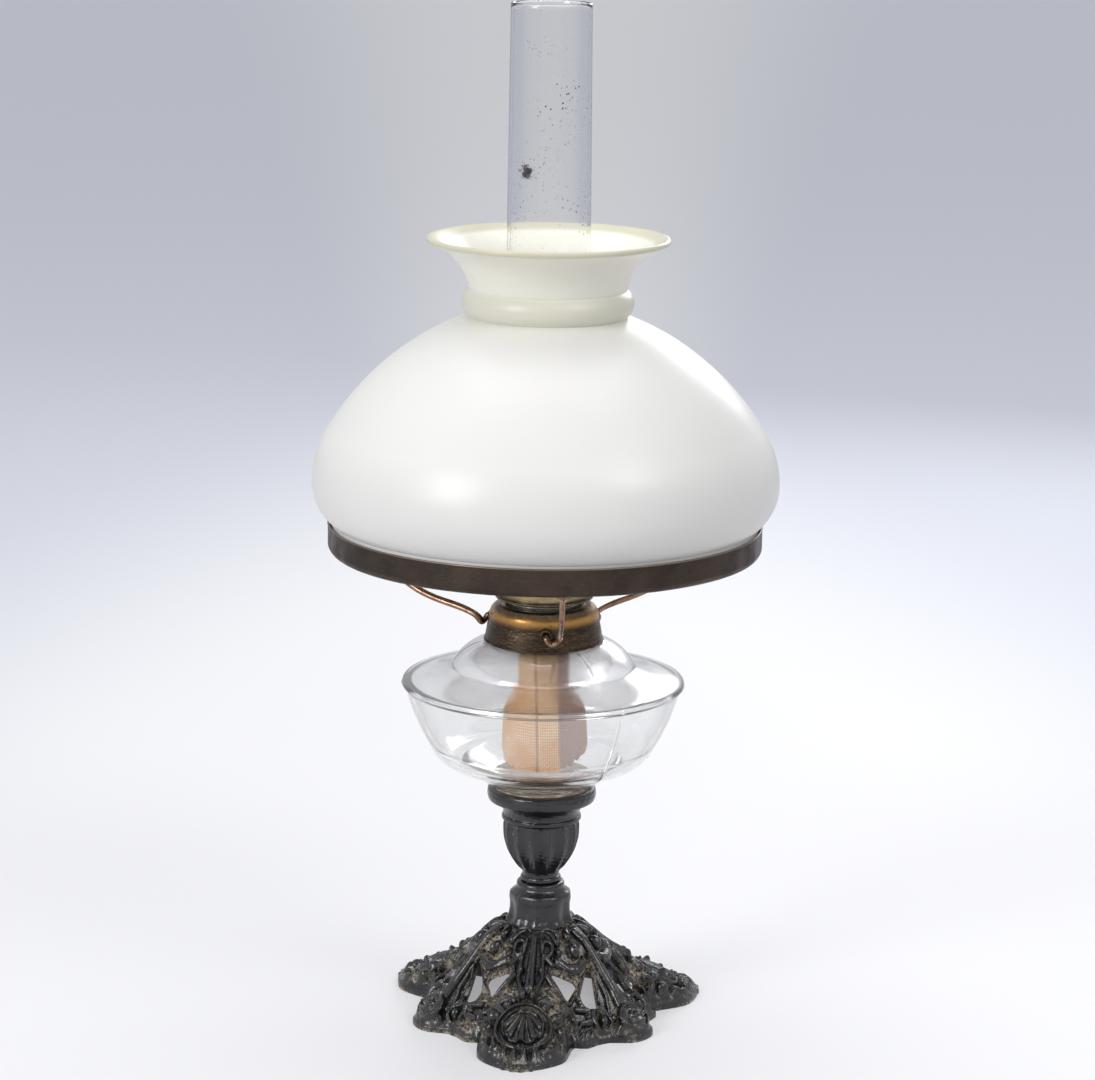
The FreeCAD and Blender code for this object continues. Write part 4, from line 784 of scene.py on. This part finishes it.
def makeFoot():
    columns, rows = foot["columns"], foot["rows"]
    azimuth = evenAzimuths(columns)
    sector = fullTurn / foot["sectors"]
    base = (azimuth - math.radians(foot["lobeAzimuth"]) + sector / 2) % sector - sector / 2
    side = np.sign(base) + (base == 0)
    rim = footRim(base)
    radius = rim + (foot["pedestalRadius"] - rim) * np.linspace(0, 1, rows)[:, None] ** 1.12
    inset = distanceInside(rim, radius, azimuth)
    turn = np.broadcast_to(np.abs(base), radius.shape)
    x, y = snapToPiercings(radius * np.sin(turn), radius * np.cos(turn))
    away = piercingDistance(x, y)
    turn, radius = np.arctan2(np.abs(x), y), np.hypot(x, y)

    def height(r, t):
        return plainHeight(r, np.degrees(np.clip(t, 0, sector / 2)))

    # The plain casting and the direction in which it faces
    plain = height(radius, turn)
    delta, deltaTurn = 0.3, 0.008
    byRadius = (height(radius + delta, turn) - height(radius - delta, turn)) / (2 * delta)
    byTurn = (height(radius, turn + deltaTurn) - height(radius, turn - deltaTurn)) / (2 * deltaTurn * radius)
    length = np.sqrt(1 + byRadius ** 2 + byTurn ** 2)
    outward, sideways, upward = -byRadius / length, -byTurn / length * side, 1 / length

    raised = ornament(x, y) * smoothStep(inset, 0.6, 5.6) * smoothStep(away, 0.0, 0.9)
    relief = raised + 3 * smoothStep(inset, 3.4, 1.2) + 3 * smoothStep(radius, 27, 22)
    waves = rng.normal(0, 1, (40, 3))
    rough = sum(np.sin(azimuth * round(20 + 60 * abs(a)) + radius * b * 0.5 + c * 9) for a, b, c in waves)
    raised = raised + rough / len(waves) * foot["roughness"]
    edged = foot["edge"] + (plain - foot["edge"]) * dome(np.clip(1 - inset / foot["roundOver"], 0, 1))
    spin = np.where(side > 0, turn, -turn) + (azimuth - base)
    top = aroundAxis(radius + raised * outward, spin, edged + raised * upward)
    top[..., 0] += raised * sideways * np.cos(spin)
    top[..., 1] += raised * sideways * np.sin(spin)
    top[..., 2] = np.minimum(top[..., 2], foot["footHeight"] + 1.2)
    under = np.maximum(plain - foot["wall"], 0) * smoothStep(inset, 3.5, 9.0)
    below = aroundAxis(radius, spin, under)
    top = np.concatenate([top, turnedGrid(alongLine(foot["stem"], foot["pedestalRows"]), azimuth, leafPush)])
    below = np.concatenate([below, turnedGrid(alongLine(foot["hole"], foot["pedestalRows"]), azimuth)])

    # Cells inside a piercing are left out, and walls join the open edges of the top to the same edges below
    count = len(top) * columns
    inside = away < -0.02
    cell = inside | np.roll(inside, -1, axis=1)
    keep = np.ones((len(top) - 1, columns), bool)
    keep[:rows - 1] = ~(cell[:-1] | cell[1:])
    keptTop = gridQuads(len(top), columns, closedRows=False)[keep.ravel()]
    edges = np.concatenate([keptTop[:, [k, (k + 1) % 4]] for k in range(4)])
    keys = np.sort(edges, axis=1).astype(np.int64)
    _, firsts, counts = np.unique(keys[:, 0] * count + keys[:, 1], return_index=True, return_counts=True)
    rims = edges[firsts[counts == 1]]
    walls = np.concatenate([rims[:, ::-1], rims + count], axis=1)
    points = np.concatenate([top.reshape(-1, 3), below.reshape(-1, 3)])
    faces = np.concatenate([keptTop, keptTop[:, ::-1] + count, walls])
    used, compact = np.unique(faces, return_inverse=True)
    mesh = meshFromArrays("cast_foot_relief", points[used], compact.reshape(-1, 4))
    # How far each point stands out, for the dust that lies between the raised work
    proud = np.zeros(2 * count)
    proud[:rows * columns] = relief.ravel()
    proud[rows * columns:count] = foot["dustless"]
    layer = mesh.attributes.new("relief", "FLOAT", "POINT")
    layer.data.foreach_set("value", (proud[used] / 4).astype(np.float32))
    addPiece(mesh, "base", materials["dustyIron"], ("cast_foot",), sharpAngle=50, weld=0)


makeFoot()
print("foot cast")

# Fluted cup
cup = {
    "flutes": 14, "lowest": 82.5, "highest": 113.5, "firstRidge": -13.1, "ridge": 0.75, "hollow": 1.3,
    "corners": ((3.3, 77.0), (10.4, 77.0), (11.2, 78.6, 1.4, 1), (10.2, 80.4, 1.5, 1), (10.8, 83.4, 6.0, -1),
                (20.2, 112.0, 34.1, 1), (21.6, 113.0), (22.0, 114.4, 1.0, 1), (21.6, 115.6, 1.0, 1),
                (21.2, 116.2, 0.6, -1), (23.4, 121.2, 7.5, -1), (27.8, 124.0, 6.0, -1), (29.7, 125.4, 1.6, 1),
                (30.0, 129.4, 6.0, 1), (28.9, 131.6, 2.0, 1), (27.0, 132.0, 3.0, 1), (20.0, 119.0), (3.3, 119.0)),
}


def flutePush(radius, height, azimuth):
    phase = (azimuth - math.radians(cup["firstRidge"])) * cup["flutes"] / fullTurn
    away = np.abs(phase - np.round(phase)) * 2
    low, high = cup["lowest"], cup["highest"]
    body = smoothStep(height, low, low + 6) * smoothStep(height, high, high - 3.5)
    outer = (radius > 9.0) & (height < 114) & (height > 79)
    ridge = cup["ridge"] * np.clip(1 - away / 0.13, 0, 1)
    hollow = -cup["hollow"] * np.sin(np.clip((away - 0.14) / 0.86, 0, 1) * math.pi / 2)
    shape = (ridge + hollow * np.clip(radius / 20, 0.4, 1)) * body
    lump = 0.12 * np.sin(azimuth * 23 + height * 0.9) * np.sin(azimuth * 11 - height * 1.7)
    return np.where(outer, shape, 0) + np.where(radius > 9, lump * 0.6, 0)


turnedPiece("fluted_cup_body", cup["corners"], "base", materials["iron"], ("fluted_cup",),
            segments=560, push=flutePush, step=0.5, sharpAngle=45)

# Plaster in the cup, with a broken upper edge
plaster = {
    "corners": ((0.0, 121.5), (5.0, 121.2), (6.2, 119.2), (19.9, 119.1), (26.9, 131.9), (27.3, 132.6), (26.2, 133.2),
                (25.1, 131.4), (19.1, 123.5), (0.0, 123.5)),
}


def plasterPush(radius, height, azimuth):
    edge = smoothStep(height, 130.5, 132.8)
    wave = np.sin(azimuth * 17 + 1.3) + 0.7 * np.sin(azimuth * 41 + 0.4) + 0.5 * np.sin(azimuth * 73)
    return 0.25 * edge * wave


turnedPiece("plaster_edge", plaster["corners"], "base", materials["plaster"], ("plaster_bed",),
            segments=320, push=plasterPush, sharpAngle=60)
print("cup done")

# Glass font, pressed in a mould of three parts
font = {
    "seams": (34.0, 154.0, 274.0), "seamHeight": 0.22,
    "corners": ((0.0, 123.6), (18.9, 123.6), (24.9, 131.0), (45.0, 144.5), (62.4, 156.96, 19.0, 1),
                (75.5, 189.0, 110.0, 1), (78.0, 191.0, 3.2, 1), (77.0, 193.0, 3.2, 1), (52.2, 200.2, 60.0, -1),
                (50.4, 201.4, 3.0, -1), (26.5, 215.5, 26.0, 1), (22.0, 215.5), (22.0, 224.0), (18.5, 224.0),
                (18.5, 212.5), (26.5, 212.5), (48.8, 198.9, 24.0, -1), (72.3, 190.9, 62.0, 1), (72.5, 188.0, 3.0, -1),
                (59.4, 157.96, 107.0, -1), (42.0, 147.5, 16.0, -1), (27.0, 139.37), (0.0, 137.87)),
}


def seamPush(radius, height, azimuth):
    outer = (height > 144.0) & (height < 214.5)
    push = np.zeros_like(radius)
    line = np.interp(height, (131, 144.5, 157, 173, 189, 191, 193, 204.5, 215.5),
                     (25, 45, 62.4, 71, 75.5, 78, 77, 49, 26.5))
    for seam in font["seams"]:
        off = np.abs((azimuth - math.radians(seam) + math.pi) % fullTurn - math.pi) * radius
        push = np.maximum(push, font["seamHeight"] * np.clip(1 - off / 0.5, 0, 1))
    return np.where(outer & (radius > line - 1.5), push, 0)


fontAzimuths = list(evenAzimuths(256))
for seam in font["seams"]:
    fontAzimuths += [math.radians(seam) + k * 0.0045 for k in (-2, -1, 0, 1, 2)]
fontAzimuths = np.unique(np.round(np.array(fontAzimuths) % fullTurn, 5))
turnedPiece("font_glass", font["corners"], "base", materials["fontGlass"], ("glass_font",),
            azimuths=fontAzimuths, push=seamPush, step=0.6, sharpAngle=40)

# Collar, and the shade holder's hub with its rolled edges and scribed line
turnedPiece("collar_shell", ((22.9, 215.6), (23.8, 215.5, 0.9, 1), (24.0, 216.2, 0.8, 1), (24.0, 234.2),
                             (23.2, 235.0, 0.8, 1), (20.9, 235.0), (20.9, 224.0), (22.9, 224.0)),
            "base", materials["brass"], ("font_collar",), segments=160)
hub = {
    "corners": ((32.9, 215.35), (33.05, 216.0, 0.5, 1), (32.5, 216.5, 0.5, 1), (31.05, 224.4), (30.9, 224.65),
                (30.85, 224.9), (30.0, 229.5), (25.5, 236.0, 6.6, 1), (23.2, 235.9), (22.4, 235.6),
                (21.8, 235.7, 0.5, 1), (21.75, 235.0, 0.5, 1), (22.6, 234.8), (25.34, 235.0), (29.0, 229.43, 5.6, -1),
                (31.6, 216.2), (32.0, 215.35)),
}
turnedPiece("hub_shell", hub["corners"], "shade_holder", materials["hub"], ("shade_hub",), segments=256,
            step=0.45)

arms = {
    "count": 3, "azimuth": 2.0, "eyeletHeight": 225.0, "inner": 28.3, "outer": 33.6, "wire": 1.6, "side": 6.0,
    "rivetRadius": 105.4,
}


def armWays(k):
    # The directions outwards and to the right at one arm
    turn = math.radians(arms["azimuth"] + k * 120)
    return aroundAxis(1, turn, 0), np.array((math.cos(turn), math.sin(turn), 0))


def makeEyelets():
    # Short tubes let into the skirt, with a rolled mouth
    inner, outer = arms["inner"], arms["outer"]
    line = outline(((1.7, inner), (3.5, inner), (3.5, outer - 0.6), (2.9, outer, 0.6, 1), (2.1, outer + 0.05),
                    (1.7, outer - 0.4, 0.5, 1)), 0.3, 1.2)
    around = evenAzimuths(40)
    grids = []
    for k in range(arms["count"]):
        out, right = armWays(k)
        grid = out * line[:, 1:, None] + right * (line[:, :1] * np.cos(around))[..., None]
        grid[..., 2] += arms["eyeletHeight"] + line[:, :1] * np.sin(around)
        grids.append(grid)
    addPiece(meshOfGrids("eyelet_tubes", grids), "shade_holder", materials["hub"], ("arm_eyelets",))


makeEyelets()


def sweptTube(path, widths, heights, sides=20):
    # An oval section carried along points without twisting
    path = np.asarray(path, float)
    ways = np.gradient(path, axis=0)
    ways /= np.linalg.norm(ways, axis=1)[:, None]
    across = np.cross(ways[0], (0, 0, 1.0) if abs(ways[0][2]) < 0.9 else (1.0, 0, 0))
    rings = []
    for point, way, wide, high in zip(path, ways, widths, heights):
        across = across - way * np.dot(across, way)
        across /= np.linalg.norm(across)
        second = np.cross(way, across)
        angle = evenAzimuths(sides)
        rings.append(point + wide * np.cos(angle)[:, None] * across + high * np.sin(angle)[:, None] * second)
    return np.stack(rings)


def splinePoints(points, count):
    # A smooth line near its points, from a cubic B-spline
    points = np.asarray(points, float)
    padded = np.concatenate([[points[0] * 2 - points[1]], points, [points[-1] * 2 - points[-2]]])
    result = []
    for t in np.linspace(0, len(points) - 1, count):
        i = min(int(t), len(points) - 2)
        u = t - i
        weights = np.array(((1 - u) ** 3, 3 * u ** 3 - 6 * u ** 2 + 4,
                            -3 * u ** 3 + 3 * u ** 2 + 3 * u + 1, u ** 3)) / 6
        result.append(weights @ padded[i:i + 4])
    return np.array(result)


def makeArm(name, k):
    # The hooked end goes through its eyelet, and the flattened end lies under the ring
    side, z = arms["side"], arms["eyeletHeight"]
    route = [(0, 28.4, z), (0, 31, z), (0, 33.8, z), (0, 35.4, z - 0.3), (0.8, 36.2, z - 2.4), (2.8, 36.3, z - 4.2),
             (5.0, 36.6, z - 3.4), (side, 38.0, z - 0.4), (side, 42.5, z + 1.8), (side, 52, z + 4.2),
             (side, 62, z + 5.8), (side, 72, z + 8.2), (side, 82, z + 12.4), (side, 91, z + 19.0),
             (side, 98, z + 26.0), (side, 102.5, z + 32.5), (side, 105.0, z + 37.2), (side, 107.5, z + 39.9),
             (side, 110.5, 265.2)]
    out, right = armWays(k)
    line = splinePoints([right * a + out * b + np.array((0, 0, c)) for a, b, c in route], 150)
    beaten = smoothStep(np.linspace(0, 1, len(line)), 0.22, 0.34)
    wave = 1 + 0.03 * np.sin(np.linspace(0, 40, len(line)))
    widths, heights = arms["wire"] * (1 + 0.2 * beaten) * wave, arms["wire"] * (1 - 0.24 * beaten) * wave
    heights[-9:] = np.linspace(heights[-9], 0.75, 9)
    rings = sweptTube(line, widths, heights)
    sides = rings.shape[1]
    points = np.concatenate([rings.reshape(-1, 3), [line[0], line[-1]]]) * mm
    faces = gridQuads(len(line), sides, closedRows=False).tolist()
    tip, start = len(line) * sides, (len(line) - 1) * sides
    for j in range(sides):
        after = (j + 1) % sides
        faces += [(tip, after, j), (tip + 1, start + j, start + after)]
    mesh = bpy.data.meshes.new(name + "_wire")
    mesh.from_pydata(points.tolist(), [], faces)
    work = bmesh.new()
    work.from_mesh(mesh)
    # the pad, hammered flat with rounded corners; the rivet hides where its hole would be
    wide, near, far = 3.5, 103.0, 113.0
    shape = ((-1, near + 1.2), (-0.66, near), (0.66, near), (1, near + 1.2),
             (1, far - 1.6), (0.6, far), (-0.6, far), (-1, far - 1.6))
    pad = np.array([right * (side + u * wide) + out * v for u, v in shape])
    middle = pad.mean(axis=0)
    rows = []
    for height, shrink in ((264.4, 0.93), (264.65, 1.0), (265.75, 1.0), (265.98, 0.96)):
        corners = (middle + (pad - middle) * shrink + (0, 0, height)) * mm
        rows.append([work.verts.new(Vector(corner)) for corner in corners])
    for lower, upper in zip(rows, rows[1:]):
        for j in range(len(pad)):
            after = (j + 1) % len(pad)
            work.faces.new((lower[j], lower[after], upper[after], upper[j]))
    work.faces.new(rows[0][::-1])
    work.faces.new(rows[-1])
    work.to_mesh(mesh)
    work.free()
    addPiece(mesh, "shade_holder", materials["wire"], (name,), sharpAngle=40)


for k, name in enumerate(("shade_arm_front", "shade_arm_right", "shade_arm_left")):
    makeArm(name, k)

# Shade ring and rivets
ringShape = {
    "corners": ((103.0, 266.9), (102.7, 266.5, 0.5, 1), (103.2, 266.05, 0.5, 1), (114.6, 266.0),
                (118.1, 268.6, 3.6, 1), (118.5, 270.0, 2.0, 1), (118.5, 280.6), (118.75, 281.0, 0.5, 1),
                (118.4, 281.5, 0.5, 1), (117.7, 281.45, 0.6, 1), (117.5, 280.8, 0.7, 1), (117.5, 269.8),
                (115.0, 267.1, 2.6, -1)),
}
turnedPiece("ring_band", ringShape["corners"], "shade_holder", materials["ring"], ("shade_ring",),
            segments=320, step=0.4)


def makeRivets():
    line = outline(((0.0, 263.5), (0.9, 263.55), (1.8, 264.0, 1.4, 1), (2.0, 264.38, 0.5, 1), (1.1, 264.4),
                    (1.1, 267.0), (2.0, 267.0), (1.7, 267.5, 0.8, 1), (0.7, 267.9, 1.6, 1), (0.0, 267.92)), 0.25, 0.8)
    grids = []
    for k in range(arms["count"]):
        out, right = armWays(k)
        grids.append(turnedGrid(line, evenAzimuths(32)) + out * arms["rivetRadius"] + right * arms["side"])
    addPiece(meshOfGrids("rivet_heads", grids), "shade_holder", materials["ring"], ("ring_rivets",))


makeRivets()
print("shade holder done")

# Shade and chimney
shade = {
    "corners": ((116.4, 268.4, 1.4, 1), (116.4, 282.6), (127.4, 304.0, 26.7, 1), (117.5, 335.0, 53.5, 1),
                (43.0, 395.0, 150.0, 1), (43.0, 409.5, 8.8, 1), (65.0, 434.6, 32.0, -1), (64.05, 437.65, 1.7, 1),
                (39.5, 408.03, 35.2, 1), (36.65, 394.2, 8.8, -1), (114.85, 333.21, 146.8, -1),
                (124.2, 304.01, 50.3, -1), (113.2, 284.23, 23.5, -1), (113.2, 268.4), (113.2, 267.0), (115.0, 267.0)),
}


def blownPush(radius, height, azimuth):
    return 0.25 * np.sin(2 * azimuth + 0.7) * smoothStep(height, 268, 300) * smoothStep(height, 437, 410)


turnedPiece("shade_glass", shade["corners"], "shade", materials["opal"], ("opal_shade",),
            segments=320, push=blownPush, step=0.9, sharpAngle=50)
chimney = {
    "corners": ((26.0, 288.5), (26.0, 300.0), (22.1, 311.0, 16.0, 1), (18.2, 322.0, 16.0, -1),
                (20.7, 336.0, 41.6, -1), (23.2, 350.0, 41.6, 1), (21.65, 561.2), (20.85, 562.0, 0.82, 1),
                (20.05, 561.2, 0.82, 1), (21.6, 350.0), (19.2, 336.55, 40.0, -1), (16.6, 322.03, 43.2, 1),
                (20.89, 309.95, 17.6, 1), (24.4, 300.03, 14.4, -1), (24.4, 288.5), (25.2, 288.0, 0.9, 1)),
}
turnedPiece("chimney_glass_tube", chimney["corners"], "chimney_glass", materials["chimneyGlass"],
            ("chimney",), segments=160, step=0.8, sharpAngle=50)
print("shade and chimney done")

# Burner pieces that show
turnedPiece("burner_band", ((19.4, 226.0), (20.6, 226.0), (20.6, 228.6), (20.2, 229.0), (20.6, 229.6), (20.6, 236.6),
                            (21.0, 237.2, 0.8, 1), (20.6, 237.9, 0.6, 1), (20.4, 238.4), (20.5, 239.4),
                            (19.4, 239.5)),
            "burner", materials["burner"], ("burner_ring",), segments=160, step=0.3)
turnedPiece("burner_tray", ((14.8, 239.6), (26.4, 239.5), (27.0, 239.9, 0.5, 1), (27.0, 240.5), (26.5, 240.7, 0.5, 1),
                            (14.8, 240.7)),
            "burner", materials["burner"], ("burner_plate",), segments=160, step=0.3)

knob = {
    "notches": 44, "depth": 0.45, "rimRadius": 9.2, "y": -17.5, "z": 258.0,
    "corners": ((1.25, 47.0), (3.0, 47.0), (3.2, 47.3, 0.3, 1), (3.2, 51.4), (4.0, 52.0, 0.8, -1), (9.4, 52.0),
                (9.9, 52.5, 0.5, 1), (9.9, 55.4), (9.3, 56.0, 0.6, 1), (8.4, 56.0), (7.6, 55.3), (4.4, 55.1),
                (3.6, 55.8, 0.8, -1), (2.6, 55.98), (1.25, 56.0)),
}


def makeKnob():
    # A milled wheel with a dished face and a plain centre
    line = outline(knob["corners"], 0.3, 0.8)
    around = evenAzimuths(knob["notches"] * 8)
    milling = knob["depth"] * (0.5 - 0.5 * np.cos(around * knob["notches"]))
    radius = line[:, :1] - (line[:, :1] > knob["rimRadius"]) * milling
    grid = np.stack([np.broadcast_to(line[:, 1:], radius.shape), knob["y"] + radius * np.cos(around),
                     knob["z"] + radius * np.sin(around)], axis=-1)
    addPiece(meshOfGrids("knob_wheel", [grid]), "winder", materials["brass"], ("winder_knob",),
             sharpAngle=38)


makeKnob()

# Wick: one woven strip, rolled round the draught tube and opening out in the font
wick = {
    "width": 72.0, "top": 301.4, "rollEnd": 221.0, "bottom": 143.6, "radius": 12.7, "flare": 24.0, "thick": 1.5,
    "fold": 7.5, "foldDepth": 6.5, "columns": 120, "rows": 190,
}


def makeWick():
    rows, columns = wick["rows"], wick["columns"]
    z = np.linspace(wick["top"], wick["bottom"], rows)
    down = np.clip((wick["rollEnd"] - z) / (wick["rollEnd"] - wick["bottom"]), 0, 1)
    spread = wick["flare"] - wick["radius"]
    flare = np.interp(down, (0, 0.42, 0.64, 1), (0, 0.08, 0.88, 1))
    flare = np.convolve(np.pad(flare, 8, mode="edge"), np.ones(17) / 17, mode="valid")
    radius = (wick["radius"] + spread * flare)[:, None]
    shift = (spread * np.interp(down, (0, 0.30, 0.62, 1), (0, 0.05, 0.12, 0.18)))[:, None]
    down = down[:, None]
    share = np.linspace(-0.5, 0.5, columns)
    past = share * wick["width"] - wick["fold"]
    step = wick["foldDepth"] * smoothStep(past, 0.0, 2.4) * smoothStep(past, 34.0, 16.0)
    fold = (0.35 * np.sin(share * 38) + step) * down ** 2
    ragged = 1.6 * down ** 6 * (np.sin(share * 31) + 0.6 * np.sin(share * 77 + 1))
    rounded = 9 * (np.abs(share) / 0.5) ** 5 * down ** 4
    height = z[:, None] + np.abs(ragged) + rounded
    grids = []
    for side in (1, -1):
        grid = aroundAxis(radius + side * wick["thick"] / 2 - fold, share * wick["width"] / radius, height)
        grid[..., 0] += shift
        grid[..., 1] += 2 * shift
        grids.append(grid.reshape(-1, 3))
    count = rows * columns
    quads = gridQuads(rows, columns, closedRows=False, closedColumns=False)
    index = np.arange(count).reshape(rows, columns)
    border = np.concatenate([index[:, 0], index[-1, 1:], index[-2::-1, -1], index[0, -2:0:-1]])
    after = np.roll(border, -1)
    walls = np.stack([border, after, after + count, border + count], axis=-1)
    mesh = meshFromArrays("wick_strip", np.concatenate(grids), np.concatenate([quads, quads[:, ::-1] + count, walls]))
    layer = mesh.uv_layers.new(name="strip")
    corner = np.zeros(len(mesh.loops), dtype=np.int32)
    mesh.loops.foreach_get("vertex_index", corner)
    corner %= count
    flat = np.stack([share[corner % columns] * wick["width"], z[corner // columns]], axis=-1) * mm
    layer.data.foreach_set("uv", flat.ravel())
    piece = addPiece(mesh, "wick_strip", materials["cotton"], ("wick",), sharpAngle=60)


makeWick()
print("burner and wick done")

# The plain solids that stay, with their finishes
kept = {
    "steel": ("cup_bolt", "bolt_washer", "bolt_nut", "winder_shaft"),
    "plaster": ("collar_plaster",),
    "brass": ("air_basket", "chimney_gallery", "chimney_fingers", "burner_cone", "outer_wick_tube", "draught_tube",
              "shaft_bushes", "spur_wheels"),
}
for finish, names in kept.items():
    for name in names:
        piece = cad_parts[name]
        for socket in piece.material_slots:
            socket.material = materials[finish]

# Floor, lights and camera
stage = {
    "size": 30.0, "near": (0.55, 0.55, 0.565), "far": (0.425, 0.44, 0.49), "fadeFrom": 1.0, "fadeTo": 2.5,
    "sideways": 2.4, "middle": 0.2, "drift": 1.2, "glow": 0.62, "glossyGlow": 0.7,
    "sky": (0.86, 0.87, 0.90, 1.0), "skyGlow": 0.42, "skySeen": 0.15, "skyThrough": 0.5, "skyGlossy": 0.6,
}


def rayKinds(tree):
    path = nodeOf(tree, "ShaderNodeLightPath").outputs
    return path["Is Camera Ray"], path["Is Transmission Ray"], path["Is Glossy Ray"]


def makeFloor():
    mesh = bpy.data.meshes.new("floor")
    half = stage["size"] / 2
    mesh.from_pydata([(-half, -half, 0), (half, -half, 0), (half, half, 0), (-half, half, 0)], [], [(0, 1, 2, 3)])
    floor = bpy.data.objects.new("floor", mesh)
    bpy.context.collection.objects.link(floor)
    material, tree, shader, place = newMaterial("paleFloor", stage["near"], 0.0, 0.6, Specular_IOR_Level=0.2)
    # The grey sets in with distance, sooner at the sides, and stays paler behind the lamp
    spot = partsOf(place)
    aside = mathNode("ABSOLUTE", spot["X"])
    drift = times(minus(noise(place, 0.6, 1.0, 0.4), 0.5), stage["drift"])
    reach = plus(plus(spot["Y"], drift), times(aside, stage["sideways"]))
    slant = mathNode("DIVIDE", aside, most(spot["Y"], 0.5))
    fade = times(ramp(reach, stage["fadeFrom"], stage["fadeTo"]), ramp(slant, 0.02, 0.12, stage["middle"], 1.0))
    tone = mixColour(fade, stage["near"], stage["far"])
    link(tone, shader.inputs["Base Color"])
    link(tone, shader.inputs["Emission Color"])
    camera, through, glossy = rayKinds(tree)
    seen = most(most(camera, through), times(glossy, stage["glossyGlow"]))
    link(times(seen, stage["glow"]), shader.inputs["Emission Strength"])
    mesh.materials.append(material)


def makeWorld():
    world = bpy.data.worlds.new("studio")
    bpy.context.scene.world = world
    world.use_nodes = True
    sky = setInputs(world.node_tree.nodes["Background"], Color=stage["sky"])
    camera, through, glossy = rayKinds(world.node_tree)
    bent = times(most(through, times(glossy, stage["skyGlossy"])), stage["skyThrough"])
    link(plus(bent, plus(times(camera, stage["skySeen"]), stage["skyGlow"])), sky.inputs["Strength"])


makeFloor()
makeWorld()

lights = {
    # name: place, aim, width, height, watts
    "keyRight": ((1.7, -1.5, 2.1), (0.0, 0.0, 0.30), 1.1, 1.1, 20.0),
    "fillLeft": ((-2.0, -1.8, 1.5), (0.0, 0.0, 0.25), 1.1, 1.4, 39.0),
    "topSoft": ((0.0, 0.5, 2.4), (0.0, 0.0, 0.3), 2.2, 1.6, 20.0),
    "backRim": ((0.6, 1.6, 0.9), (0.0, 0.0, 0.3), 0.8, 0.6, 8.0),
}
for name, (place, aim, width, height, power) in lights.items():
    lamp = bpy.data.lights.new(name, "AREA")
    lamp.shape = "RECTANGLE"
    lamp.size, lamp.size_y, lamp.energy = width, height, power
    holder = bpy.data.objects.new(name, lamp)
    holder.location = place
    holder.rotation_euler = (Vector(aim) - Vector(place)).to_track_quat("-Z", "Y").to_euler()
    bpy.context.collection.objects.link(holder)

view = {"right": 0.0014, "back": 1.842, "up": 0.676, "down": 12.4, "roll": 0.75, "lens": 113.42}
camera = bpy.data.cameras.new("camera")
camera.lens = view["lens"]
camera.sensor_width = 36.0
camera.clip_end = 60.0
eye = bpy.data.objects.new("camera", camera)
eye.matrix_world = (Matrix.Translation((view["right"], -view["back"], view["up"]))
                    @ Matrix.Rotation(math.radians(90 - view["down"]), 4, "X")
                    @ Matrix.Rotation(math.radians(view["roll"]), 4, "Z"))
bpy.context.collection.objects.link(eye)
bpy.context.scene.camera = eye
bpy.context.scene.view_settings.view_transform = "Standard"
print("stage set")
